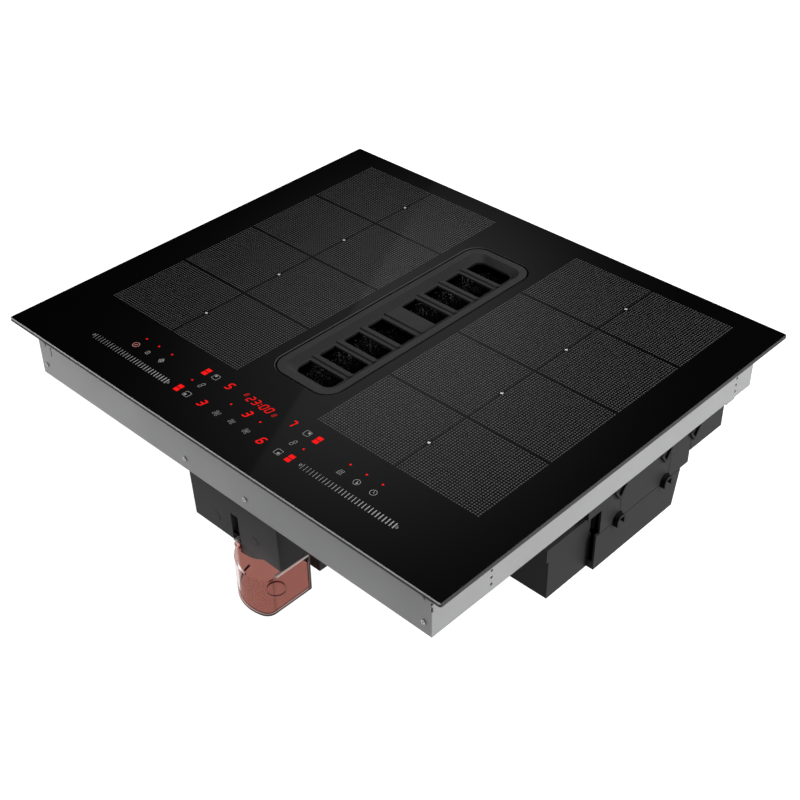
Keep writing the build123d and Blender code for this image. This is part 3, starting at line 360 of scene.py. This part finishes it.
def metalMaterial(name, colour, rough, metallic=1.0):
    # fine grain in shade, gloss and height
    f = finishes
    p = paintFor(name)
    grain = p.noise(300, 4, 0.6)
    base = p.mixColour(grain, opaque(colour, f["metalDark"]), opaque(colour))
    return p.surface({"Base Color": base, "Metallic": metallic,
                      "Roughness": rough + (grain - 0.5) * f["metalRough"],
                      "Normal": p.bump(grain, 0.05, f["metalDepth"])})


def plainMaterial(name, colour, rough):
    # an even finish with a fine grain, for boards, mica, ferrite and print
    f = finishes
    p = paintFor(name)
    grain = p.noise(400, 3, 0.5)
    base = p.mixColour(grain, opaque(colour, f["plainDark"]), opaque(colour))
    return p.surface({"Base Color": base, "Roughness": rough, "Normal": p.bump(grain, 0.05, f["metalDepth"])})


def lightMaterial(name, colour):
    # a lit figure, a little uneven as light behind printed glass is
    f = finishes
    p = paintFor(name)
    cloud = p.noise(f["glowScale"], 2, 0.5)
    glow = p.mixColour(cloud, opaque(colour, f["darker"]), opaque(colour, f["lighter"]))
    return p.surface({"Base Color": grey(0.005), "Roughness": 0.4, "Specular IOR Level": 0.05,
                      "Emission Color": glow, "Emission Strength": 1.0})


# the drip container, in millimetres: where the tinted back and left walls begin, the foot, the rim and the
# boss of the floor; shares say how dark a line of painted shade is, and the rim's light band is painted light
bowl = {
    "clear": (0.87, 0.8, 0.78), "tint": (0.288, 0.112, 0.092), "dark": (0.05, 0.045, 0.045),
    "wallY": (-238.0, -221.0), "leftX": 30.0, "backY": -200.0, "rightX": 60.0, "edgeY": -186.0,
    "floorZ": -187.4, "footZ": (-189.75, -186.3), "footY": -205.0, "rimZ": -144.0, "topZ": -140.2,
    "sideX": 15.0, "rimFrom": -228.0, "boss": (39.6, -209.8, 9.5), "cornerShadeY": -230.7, "cornerShadeTop": -146.6,
    "arcY": -229.0, "rimPaintedLight": (0.6, 0.54, 0.53), "tintSpread": 1.12, "bossHeight": 4.0, "bossEdge": 0.3,
    "lineHalf": 0.5, "arcHalf": 1.4, "ringShare": 0.35, "cornerShadeShare": 0.6, "arcShare": 0.9, "rimShare": 0.5,
    "meltFrom": 0.9, "meltShare": 0.97, "rough": 0.05, "solidRough": 0.5, "coat": 0.05,
}


def clearMaterial():
    # clear plastic, tinted on its back and left walls and its floor, so the tint shows through the front
    b = bowl
    p = paintFor("clearBrown")
    cloud = p.noise(40, 2, 0.5)
    x, y, z = [axis * 1000 for axis in p.axes()]
    behind = p.between(y, *b["wallY"])
    back = (y > b["backY"]) * (x < b["rightX"])
    bx, by, radius = b["boss"]
    dx, dy = x - bx, y - by
    spread = (dx * dx + dy * dy).power(0.5)
    low = z < b["floorZ"] + b["bossHeight"]
    boss = (spread < radius + b["bossEdge"]) * low
    tinted = (behind * (x < b["leftX"])).larger(back).larger(z < b["floorZ"]).larger(boss)
    tint = p.mixColour(cloud, opaque(b["tint"]), opaque(b["tint"], b["tintSpread"]))
    shade = p.mixColour(tinted, opaque(b["clear"]), tint)
    # painted light and shade where the clear walls bend the light: a light band on the right of the rim, and
    # dark lines along the foot, the back end of the right side, the corner where the front arc meets the
    # right side, the top edge and the back half of the floor boss's ring
    right = x > b["rightX"]
    corner = right * (y > b["edgeY"])
    rim = right * (z > b["rimZ"]) * (y > b["rimFrom"])
    cornerShade = right * (abs(y - b["cornerShadeY"]) < b["lineHalf"]) * (z < b["cornerShadeTop"])
    arc = right * (abs(y - b["arcY"]) < b["arcHalf"]) * (z > b["rimZ"])
    ring = (abs(spread - radius) < b["lineHalf"]) * low * (dy > 0)
    _, _, upward = p.facing()
    foot = (z > b["footZ"][0]) * (z < b["footZ"][1]) * (upward < 0.5) * right.larger(y < b["footY"])
    lines = foot.larger(ring * b["ringShare"]).larger(cornerShade * b["cornerShadeShare"]).larger(arc * b["arcShare"])
    lines = lines.larger(corner).larger(z > b["topZ"])
    shade = p.mixColour(rim, shade, opaque(b["rimPaintedLight"]))
    shade = p.mixColour(lines, shade, opaque(b["dark"]))
    solid = foot.larger(corner).larger(arc).larger(rim * b["rimShare"])
    # the rim's front line melts into the wall behind it
    melt = (y < b["rimFrom"]).larger(x < b["sideX"]) * (z > b["rimZ"] + b["meltFrom"]) * (z < b["topZ"])
    return p.surface({"Base Color": shade, "Metallic": solid,
                      "Roughness": b["rough"] + solid * b["solidRough"], "IOR": 1.03,
                      "Transmission Weight": 1.0, "Coat Weight": (1 - solid) * b["coat"],
                      "Coat Roughness": 0.08, "Alpha": 1 - melt * b["meltShare"]})


materials = {
    "black_glass": glassMaterial(),
    "seal_foam": plasticMaterial("sealFoam", 0.02, 0.8, 900, 0.3),
    "zinc_sheet": zincMaterial(),
    "screw_steel": metalMaterial("screwSteel", (0.5, 0.5, 0.505), 0.35, metallic=0.6),
    "grille_grey": grilleMaterial(),
    "filter_steel": metalMaterial("filterSteel", (0.3, 0.3, 0.31), 0.4),
    "filter_mesh": metalMaterial("filterMesh", (0.16, 0.16, 0.165), 0.45),
    "black_plastic": plasticMaterial("blackPlastic", 0.028, 0.5),
    "clear_brown": clearMaterial(),
    "copper": metalMaterial("copperWire", (0.75, 0.36, 0.2), 0.35),
    "ferrite": plainMaterial("ferrite", (0.06, 0.06, 0.065), 0.6),
    "mica": plainMaterial("mica", (0.6, 0.54, 0.43), 0.5),
    "aluminium": metalMaterial("aluminium", (0.66, 0.67, 0.68), 0.38),
    "white_plastic": plasticMaterial("whitePlastic", 0.6, 0.5),
    "board_green": plainMaterial("boardGreen", (0.03, 0.17, 0.07), 0.35),
    "spring_steel": metalMaterial("springSteel", (0.5, 0.5, 0.52), 0.3),
    "part_blue": plainMaterial("partBlue", (0.04, 0.07, 0.22), 0.3),
    "core_steel": metalMaterial("coreSteel", (0.3, 0.3, 0.32), 0.45),
    "lead_grey": plainMaterial("leadGrey", (0.14, 0.14, 0.15), 0.6),
}
for entry in frame["record"]["subparts"]:
    setMaterial(entry["node"], materials[entry["material_slot"]])

# what lies under the grille, and the small clips, are darker than the housings; under the grille this is
# painted shade, for the shade in the recess
underGrilleShade = plasticMaterial("underGrilleShade", 0.006, 0.7, gloss=0.15)
for name in ("intake_collar", "intake_funnel"):
    setMaterial(name, underGrilleShade)
# painted light: the suction box is a lighter copy of the black plastic, for the light on its front
setMaterial("suction_box", plasticMaterial("boxPlasticPaintedLight", 0.1, 0.55, gloss=0.02))
setMaterial("filter_frame", metalMaterial("filterSteelShade", (0.03, 0.03, 0.031), 0.5))
setMaterial("snap_clips", plasticMaterial("clipBlack", 0.01, 0.4))
print("materials set")


# the mesh of the grease filter

# sizes and depths in millimetres; the jitter shares say how much of the jitter moves a bend each way
expanded = {
    "cell": 5.2, "row": 2.3, "strand": 0.75, "layers": 4, "tilt": 0.7, "jitter": 0.35, "seed": 7,
    "bendShare": 0.4, "runShare": 0.3, "depthJitter": 0.15, "firstDepth": 0.9, "layerStep": 1.9,
    # the wire's painted shade, and where, how many and how bright its painted glints are
    "edgeGap": 0.4, "wireInShade": 0.005,
    "glintFrom": -22.0, "glintTo": 4.0, "glintScale": 1300, "glintShare": 0.69, "glintShade": 0.6,
}


def meshMaterial():
    # wire painted nearly black for the shade under the grille, with painted glints, more of them on the left
    # of the slots where the light falls
    e = expanded
    p = paintFor("meshShadeAndGlints")
    x, _, _ = p.axes()
    left = p.between(x, e["glintFrom"] * mm, e["glintTo"] * mm, 1, 0)
    glint = p.noise(e["glintScale"], 0, 0.5) > e["glintShare"]
    shade = p.mixColour(glint * left, grey(e["wireInShade"]), grey(e["glintShade"]))
    return p.surface({"Base Color": shade, "Metallic": 0.3, "Roughness": 0.5, "Specular IOR Level": 0.1})


def expandedMesh():
    # layers of zigzag strands that meet at every second bend. A strand's bend number i lies at i half cells
    # along, and half a row to one side or the other by turns; every place strays a little by chance. Its two
    # edges are half a strand away from that line, one lower than the other by the tilt.
    e = expanded
    low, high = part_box("filter_mesh")
    chance = np.random.default_rng(e["seed"])
    jitter, depthJitter, half = e["jitter"] * mm, e["depthJitter"] * mm, e["strand"] * mm / 2
    points, faces = [], []
    margin = (e["strand"] + e["jitter"] + e["edgeGap"]) * mm
    for layer in range(e["layers"]):
        acrossWays = layer % 2 == 1
        span = (high[0] - low[0] if acrossWays else high[1] - low[1]) - 2 * margin
        width = (high[1] - low[1] if acrossWays else high[0] - low[0]) - 2 * margin
        steps = int(span / (e["cell"] * mm / 2)) + 1
        rows = int(width / (e["row"] * mm))
        along = np.linspace(0, span, steps)
        place = np.linspace(0, width, rows)
        sign = np.where((np.arange(steps)[None, :] + np.arange(rows)[:, None]) % 2 == 0, 1, -1)
        middle = place[:, None] + sign * e["row"] * mm * 0.5
        middle = middle + chance.normal(0, jitter * e["bendShare"], (rows, steps))
        middle = np.clip(middle, 0, width)
        run = np.broadcast_to(along, (rows, steps)) + chance.normal(0, jitter * e["runShare"], (rows, steps))
        run = np.clip(run, 0, span)
        depth = high[2] - (e["firstDepth"] + layer * e["layerStep"]) * mm
        depth = depth + chance.normal(0, depthJitter, (rows, steps))
        sides = []
        for side in (-1, 1):
            b = middle + side * half
            z = depth + side * half * e["tilt"]
            pair = (run, b) if acrossWays else (b, run)
            sides.append(np.stack([low[0] + margin + pair[0], low[1] + margin + pair[1], z], 2))
        strips = np.stack(sides, 1).reshape(-1, 3)
        first = np.arange(rows)[:, None, None] * 2 * steps + gridFaces(2, steps)[None]
        faces.append(first.reshape(-1, 4) + sum(len(part) for part in points))
        points.append(strips)
    piece = meshPiece("expandedMesh", np.vstack(points), np.vstack(faces), meshMaterial(),
                      "grease_filter")
    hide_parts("filter_mesh")


expandedMesh()
print("filter mesh made")


# the print of the touch control: places and sizes in millimetres on the glass

control = {
    "lift": 0.03,
    "sliders": ((-209.0, -89.6, -215.0), (93.7, 213.1, -213.4)),
    "bars": 29, "barHeight": 7.4, "barLean": -0.08, "barThin": 0.45, "barThick": 1.35,
    "barInset": 3.0, "barGrowth": 1.4,
    "redDots": ((-163.4, -183.4), (-144.0, -183.4), (-123.3, -183.4), (126.1, -182.4), (146.3, -182.4),
                (166.1, -182.4), (-76.0, -196.8), (-19.1, -196.6), (21.5, -196.2), (79.8, -196.0)),
    "dotRadius": 1.1, "blockSize": (6.1, 4.6), "blockOffset": 2.8,
    "redBlocks": ((-75.9, -178.8), (-75.8, -213.7), (79.9, -178.5), (80.1, -213.2)),
    "squareHalf": 3.5, "squareCorner": 1.0, "squareDot": 1.35, "squareDotOffset": 1.3,
    "squares": ((-62.3, -178.5, -1, 1), (-62.0, -214.8, -1, -1), (65.8, -178.1, 1, 1), (65.8, -214.1, 1, -1)),
    "links": ((-62.7, -196.3), (66.2, -196.2)),
    "digits": (("5", -41.3, -178.9, 9), ("3", -40.9, -213.9, 9), ("3", 3.6, -196.0, 9),
               ("6", 42.9, -213.7, 9), ("7", 44.6, -177.5, 9)),
    "clock": ("23:00", 1.2, -178.8, 8.2), "clockBack": 12.6, "clockStep": 7.6, "colonStep": 3.4,
    "colonRadius": 0.8, "clockWeight": 0.13, "digitWeight": 0.17, "digitLean": 0.22, "digitHalf": 0.27,
    "smallDigits": (("8", -19.5, -176.8, 4.6), ("8", 23.5, -180.8, 4.6)),
    "fans": ((-18.5, -214.9, 4.3), (1.3, -213.8, 3.6), (21.9, -214.1, 3.9)),
    "power": (-163.4, -197.0), "lock": (-144.0, -197.0), "boost": (-123.3, -197.0),
    "warm": (126.8, -195.6), "timer": (147.0, -195.6), "clockKey": (167.3, -195.6),
    "line": 0.5,
}
printTop = (glass["top"] + control["lift"]) * mm


class Print:
    # gathers flat shapes in millimetres on the glass and makes one piece of them
    def __init__(self):
        self.points = []
        self.faces = []

    def add(self, flat):
        # points at the print's height from places in millimetres; gives the first one's number
        start = len(self.points)
        self.points += np.column_stack([np.asarray(flat, float) * mm, np.full(len(flat), printTop)]).tolist()
        return start

    def polygon(self, outline):
        start = self.add(outline)
        self.faces.append(range(start, start + len(outline)))

    def disc(self, x, y, radius, sides=20):
        # points at even turns round the middle
        turns = np.arange(sides) * 2 * math.pi / sides
        self.polygon(list(zip(x + radius * np.cos(turns), y + radius * np.sin(turns))))

    def box(self, x, y, width, height, lean=0.0):
        # a rectangle whose top is pushed sideways by its lean
        w, h = width / 2, height / 2
        self.polygon([(x - w - h * lean, y - h), (x + w - h * lean, y - h), (x + w + h * lean, y + h),
                      (x - w + h * lean, y + h)])

    def path(self, points, width, closed=False):
        # a band of even width along a line of points: each point moves both ways along its normal
        line = np.asarray(points, float)
        if closed:
            ahead, behind = np.roll(line, -1, 0), np.roll(line, 1, 0)
        else:
            ahead = np.vstack([line[1:], line[-1:]])
            behind = np.vstack([line[:1], line[:-1]])
        run = ahead - behind
        run /= np.linalg.norm(run, axis=1, keepdims=True)
        normal = np.stack([-run[:, 1], run[:, 0]], 1) * width / 2
        start, count = self.add(np.vstack([line + normal, line - normal])), len(line)
        i = np.arange(count if closed else count - 1)
        j = (i + 1) % count
        self.faces += (start + np.stack([i, count + i, count + j, j], 1)).tolist()

    def ring(self, x, y, radius, width, tall=1.0, turn=0.0, sides=28):
        # a band round an oval, its height the radius times tall, turned as a whole
        angle = np.arange(sides) * 2 * math.pi / sides
        px, py = radius * np.cos(angle), radius * tall * np.sin(angle)
        c, s = math.cos(turn), math.sin(turn)
        self.path(np.stack([x + px * c - py * s, y + px * s + py * c], 1), width, True)

    def arc(self, x, y, radius, width, start, end, sides=18):
        # a band along part of a circle, from one angle to the other in degrees
        angle = np.radians(np.linspace(start, end, sides))
        self.path(np.stack([x + radius * np.cos(angle), y + radius * np.sin(angle)], 1), width)

    def make(self, name, material):
        return meshPiece(name, self.points, self.faces, material)


segmentsOf = {
    "0": "abcdef", "2": "abged", "3": "abgcd", "5": "afgcd", "6": "afgedc", "7": "abc", "8": "abcdefg",
}


def addDigit(shapes, digit, x, y, height, weight=control["digitWeight"]):
    # up to seven slanted bars, each a long hexagon that is pointed at both ends
    half, up, bar = height * control["digitHalf"], height / 2, height * weight
    ends = {
        "a": (-half, up, half, up), "b": (half, up, half, 0), "c": (half, 0, half, -up),
        "d": (-half, -up, half, -up), "e": (-half, 0, -half, -up), "f": (-half, up, -half, 0),
        "g": (-half, 0, half, 0),
    }
    for name in segmentsOf[digit]:
        x0, y0, x1, y1 = ends[name]
        run = math.hypot(x1 - x0, y1 - y0)
        ux, uy = (x1 - x0) / run, (y1 - y0) / run
        outline = []
        for along, across in ((0, 0), (bar / 2, bar / 2), (run - bar / 2, bar / 2), (run, 0),
                              (run - bar / 2, -bar / 2), (bar / 2, -bar / 2)):
            px, py = x0 + ux * along + uy * across, y0 + uy * along - ux * across
            outline.append((x + px + py * control["digitLean"], y + py))
        shapes.polygon(outline)


def roundedSquare(x, y, half, corner, steps=5):
    # a quarter circle round each corner, one after the other
    points = []
    for quarter, (sx, sy) in enumerate(((1, 1), (-1, 1), (-1, -1), (1, -1))):
        angle = np.radians(quarter * 90 + np.linspace(0, 90, steps))
        cx, cy = x + sx * (half - corner), y + sy * (half - corner)
        points += list(zip(cx + corner * np.cos(angle), cy + corner * np.sin(angle)))
    return points


def addFan(shapes, x, y, size, line):
    # four curved blades round a hub: each is a closed band whose distance and turn both swing once round
    shapes.ring(x, y, size * 0.16, line)
    for blade in range(4):
        start = math.radians(blade * 90 + 20)
        t = np.linspace(0, 2 * math.pi, 16, endpoint=False)
        along = size * (0.62 + 0.36 * np.cos(t))
        turn = start + 0.42 * np.sin(t) + 0.35 * np.cos(t)
        shapes.path(np.stack([x + along * np.cos(turn), y + along * np.sin(turn)], 1), line, True)


def addKeys(white, pink):
    # each key's figure, drawn with lines and arcs round its own middle
    line = control["line"]
    x, y = control["power"]
    pink.ring(x, y, 3.6, line * 1.1)
    pink.path([(x - 1.1, y - 1.5), (x + 1.1, y + 1.5)], line * 1.6)
    x, y = control["lock"]
    white.path(roundedSquare(x, y - 1.1, 1.9, 0.5), line, True)
    white.arc(x, y + 0.9, 1.3, line, 0, 180)
    white.disc(x, y - 1.1, 0.5)
    x, y = control["boost"]
    for i in range(4):
        px, py = x + 0.9 * (i - 1.5), y + 1.16 * (i - 1.5)
        white.path([(px + 1.9, py - 2.1), (px - 1.9, py + 2.1)], line * 1.5)
    x, y = control["warm"]
    white.path([(x - 3.2, y - 2.8), (x + 3.2, y - 2.8)], line)
    for i in (-1, 0, 1):
        t = np.linspace(-1, 1, 12)
        white.path(np.stack([x + i * 2 + 0.5 * np.sin(t * math.pi), y + 0.8 + t * 2.4], 1), line)
    x, y = control["timer"]
    white.ring(x, y, 3.4, line)
    white.polygon([(x, y), (x + 2.2, y), (x + 1.6, y - 1.6), (x, y - 2.2)])
    white.path([(x, y), (x, y + 2)], line)
    x, y = control["clockKey"]
    white.ring(x, y, 3.4, line)
    white.path([(x, y + 2), (x, y), (x + 1.4, y - 0.6)], line)


def addClock(shapes):
    # the digits of the clock in a row, with two dots between the pairs
    c = control
    text, x, y, height = c["clock"]
    place = x - c["clockBack"]
    for letter in text:
        if letter == ":":
            shapes.disc(place - 1.6, y + height * 0.18, c["colonRadius"])
            shapes.disc(place - 2.3, y - height * 0.22, c["colonRadius"])
            place += c["colonStep"]
        else:
            addDigit(shapes, letter, place, y, height, c["clockWeight"])
            place += c["clockStep"]


def addSlider(shapes, x0, x1, y):
    # a row of bars that grow thicker along the slider, between two small end figures
    c, line = control, control["line"]
    share = np.linspace(0, 1, c["bars"])
    places = x0 + c["barInset"] + (x1 - x0 - 2 * c["barInset"]) * share
    widths = c["barThin"] + (c["barThick"] - c["barThin"]) * share ** c["barGrowth"]
    for place, width in zip(places, widths):
        shapes.box(place, y, width, c["barHeight"], c["barLean"])
    shapes.ring(x0, y + 0.4, 1.0, line, tall=1.5)
    shapes.ring(x1, y - 0.6, 0.9, line)
    shapes.path([(x1 - 0.9, y - 0.6), (x1 - 0.9, y + 2.2)], line)


def controlPrint():
    c, line = control, control["line"]
    red, dim, white, pink, faint = Print(), Print(), Print(), Print(), Print()
    for x, y in c["redDots"]:
        red.disc(x, y, c["dotRadius"])
    for x, y in c["redBlocks"]:
        for side in (-1, 1):
            red.box(x, y + side * c["blockOffset"], *c["blockSize"])
    for digit, x, y, height in c["digits"]:
        addDigit(red, digit, x, y, height)
    for digit, x, y, height in c["smallDigits"]:
        addDigit(dim, digit, x, y, height)
    addClock(red)
    for slider in c["sliders"]:
        addSlider(white, *slider)
    for x, y, across, deep in c["squares"]:
        white.path(roundedSquare(x, y, c["squareHalf"], c["squareCorner"]), line, True)
        white.disc(x + across * c["squareDotOffset"], y + deep * c["squareDotOffset"], c["squareDot"])
    for x, y in c["links"]:
        for side in (-1, 1):
            white.ring(x + side * 0.5, y + side * 1.9, 1.5, line, tall=1.4, turn=-0.25)
    for x, y, size in c["fans"]:
        addFan(faint, x, y, size, line)
    addKeys(white, pink)
    red.make("redFigures", lightMaterial("redLight", (1.0, 0.006, 0.006)))
    dim.make("dimFigures", lightMaterial("dimLight", (0.5, 0.012, 0.012)))
    pink.make("powerFigure", lightMaterial("pinkLight", (0.62, 0.26, 0.24)))
    white.make("whiteFigures", plainMaterial("whitePrint", (0.42, 0.42, 0.42), 0.35))
    faint.make("fanFigures", plainMaterial("faintPrint", (0.26, 0.26, 0.26), 0.35))


controlPrint()
print("control print made")


# stage, light and camera, in metres

stageSizes = {"floorZ": -0.197, "floorHalf": 12.0, "floorShade": 0.35,
              "horizon": 0.14, "wallEnd": 0.05, "ceiling": 0.02, "ceilingStart": 0.28}


def studioFloor():
    # white where the camera, a mirror or clear plastic sees it, and seen through from below
    half = stageSizes["floorHalf"]
    floor = flatSheet("floor", (-half, -half), (half, half), stageSizes["floorZ"])
    p = paintFor("studioFloor")
    seen = p.rays("Is Camera Ray", "Is Glossy Ray", "Is Transmission Ray")
    lit = p.add("ShaderNodeBsdfDiffuse", {}, {"Color": grey(stageSizes["floorShade"])})
    glow = p.add("ShaderNodeEmission", {}, {"Color": grey(1), "Strength": 1.0})
    both = p.add("ShaderNodeAddShader", {}, {0: lit, 1: glow})
    mixed = p.add("ShaderNodeMixShader", {}, {0: seen, 1: lit, 2: both})
    clear = p.add("ShaderNodeBsdfTransparent", {}, {"Color": grey(1)})
    back = p.add("ShaderNodeNewGeometry", output="Backfacing")
    p.finish(p.add("ShaderNodeMixShader", {}, {0: back, 1: mixed, 2: clear}))
    floor.data.materials.append(p.owner)


def studioWorld():
    # white to the camera and through the clear container; for light, a pale wall near
    # the horizon under a dark ceiling, which the black glass mirrors
    world = bpy.data.worlds.new("studio")
    bpy.context.scene.world = world
    p = Paint(world)
    wall, top = stageSizes["horizon"], stageSizes["ceiling"]
    wallEnd, topStart = stageSizes["wallEnd"], stageSizes["ceilingStart"]
    _, _, z = p.axes(p.add("ShaderNodeTexCoord", output="Generated"))
    stops = [(0.0, wall), (wallEnd, wall), (topStart, top), (1.0, top)]
    height = p.add("ShaderNodeValToRGB", {"stops": stops}, {0: z})
    shade = p.mixColour(p.rays("Is Camera Ray", "Is Transmission Ray"), height, grey(1))
    p.finish(p.add("ShaderNodeBackground", {}, {"Color": shade, "Strength": 1.0}), "ShaderNodeOutputWorld")


card = {
    "height": 1.2, "low": (-2.6, 0.1), "high": (0.2, 2.5),
    "centre": (-1.198, 1.218), "reach": (0.436, 0.721), "turn": 0.594, "power": 2.66,
    "strength": 0.321, "edge": ((-1.671, 1.885), (-1.064, 0.626)), "dimShare": 0.58,
}


def reflectionCard():
    # a glowing sheet that only the glass mirrors: an oval glow, dimmer on one side of a straight edge
    c = card
    sheet = flatSheet("card", c["low"], c["high"], c["height"], faceDown=True)
    p = paintFor("cardLight")
    x, y, _ = p.axes()
    across, deep = x - c["centre"][0], y - c["centre"][1]
    cosine, sine = math.cos(c["turn"]), math.sin(c["turn"])
    u = (across * cosine + deep * sine) / c["reach"][0]
    v = (deep * cosine - across * sine) / c["reach"][1]
    oval = (u * u + v * v).power(c["power"] / 2)
    glow = p.number("POWER", math.e, oval * -1)
    (ax, ay), (bx, by) = c["edge"]
    bright = ((y - ay) * (bx - ax) - (x - ax) * (by - ay)) > 0
    share = bright * (1 - c["dimShare"]) + c["dimShare"]
    shade = p.mixColour(glow * share, grey(0), grey(1))
    p.finish(p.add("ShaderNodeEmission", {}, {"Color": shade, "Strength": c["strength"]}))
    sheet.data.materials.append(p.owner)
    sheet.visible_camera = False
    sheet.visible_diffuse = False
    sheet.visible_transmission = False
    sheet.visible_shadow = False


# place, the point it faces, width and height in metres, and watts
lamps = {
    "keyRight": ((2.0, 0.9, 1.6), (0.2, 0, -0.05), (1.0, 1.0), 65),
    "sideRight": ((2.3, 0.9, 0.8), (0.2, 0, -0.05), (1.2, 1.2), 22),
    "fillLeft": ((-1.5, -1.0, 0.02), (-0.1, -0.25, -0.1), (0.6, 0.4), 13),
    "backSoft": ((-1.6, 1.9, -0.03), (0, 0.2, -0.05), (0.8, 0.3), 14),
    "frontTop": ((-0.3, -1.2, 2.2), (0, 0, 0), (0.8, 0.8), 12),
}


def lamp(name, place, target, size, watts):
    data = bpy.data.lights.new(name, "AREA")
    data.shape = "RECTANGLE"
    data.size, data.size_y = size
    data.energy = watts
    light = bpy.data.objects.new(name, data)
    bpy.context.collection.objects.link(light)
    light.location = place
    light.rotation_euler = (Vector(target) - Vector(place)).to_track_quat("-Z", "Y").to_euler()
    light.visible_camera = False
    light.visible_glossy = False  # no hard white patches in the glass from other sides


camera = {
    "place": (0.81683, -0.82920, 0.79270), "aim": (0.074556, -0.090191, 0.0), "roll": 1.38,
    "lens": 62.47, "shiftX": 0.0227, "shiftY": 0.0,
}


def makeCamera():
    data = bpy.data.cameras.new("photoCamera")
    data.sensor_width = 36
    data.lens = camera["lens"]
    data.shift_x = camera["shiftX"]
    data.shift_y = camera["shiftY"]
    data.clip_start, data.clip_end = 0.01, 100
    cam = bpy.data.objects.new("photoCamera", data)
    bpy.context.collection.objects.link(cam)
    look = (Vector(camera["aim"]) - Vector(camera["place"])).to_track_quat("-Z", "Y").to_matrix()
    roll = Matrix.Rotation(math.radians(-camera["roll"]), 3, "Z")
    cam.matrix_world = Matrix.Translation(camera["place"]) @ (look @ roll).to_4x4()
    bpy.context.scene.camera = cam


studioFloor()
studioWorld()
reflectionCard()
for lampName, (place, target, size, watts) in lamps.items():
    lamp(lampName, place, target, size, watts)
makeCamera()
bpy.context.scene.view_settings.view_transform = "Standard"
print("stage, lamps and camera set")
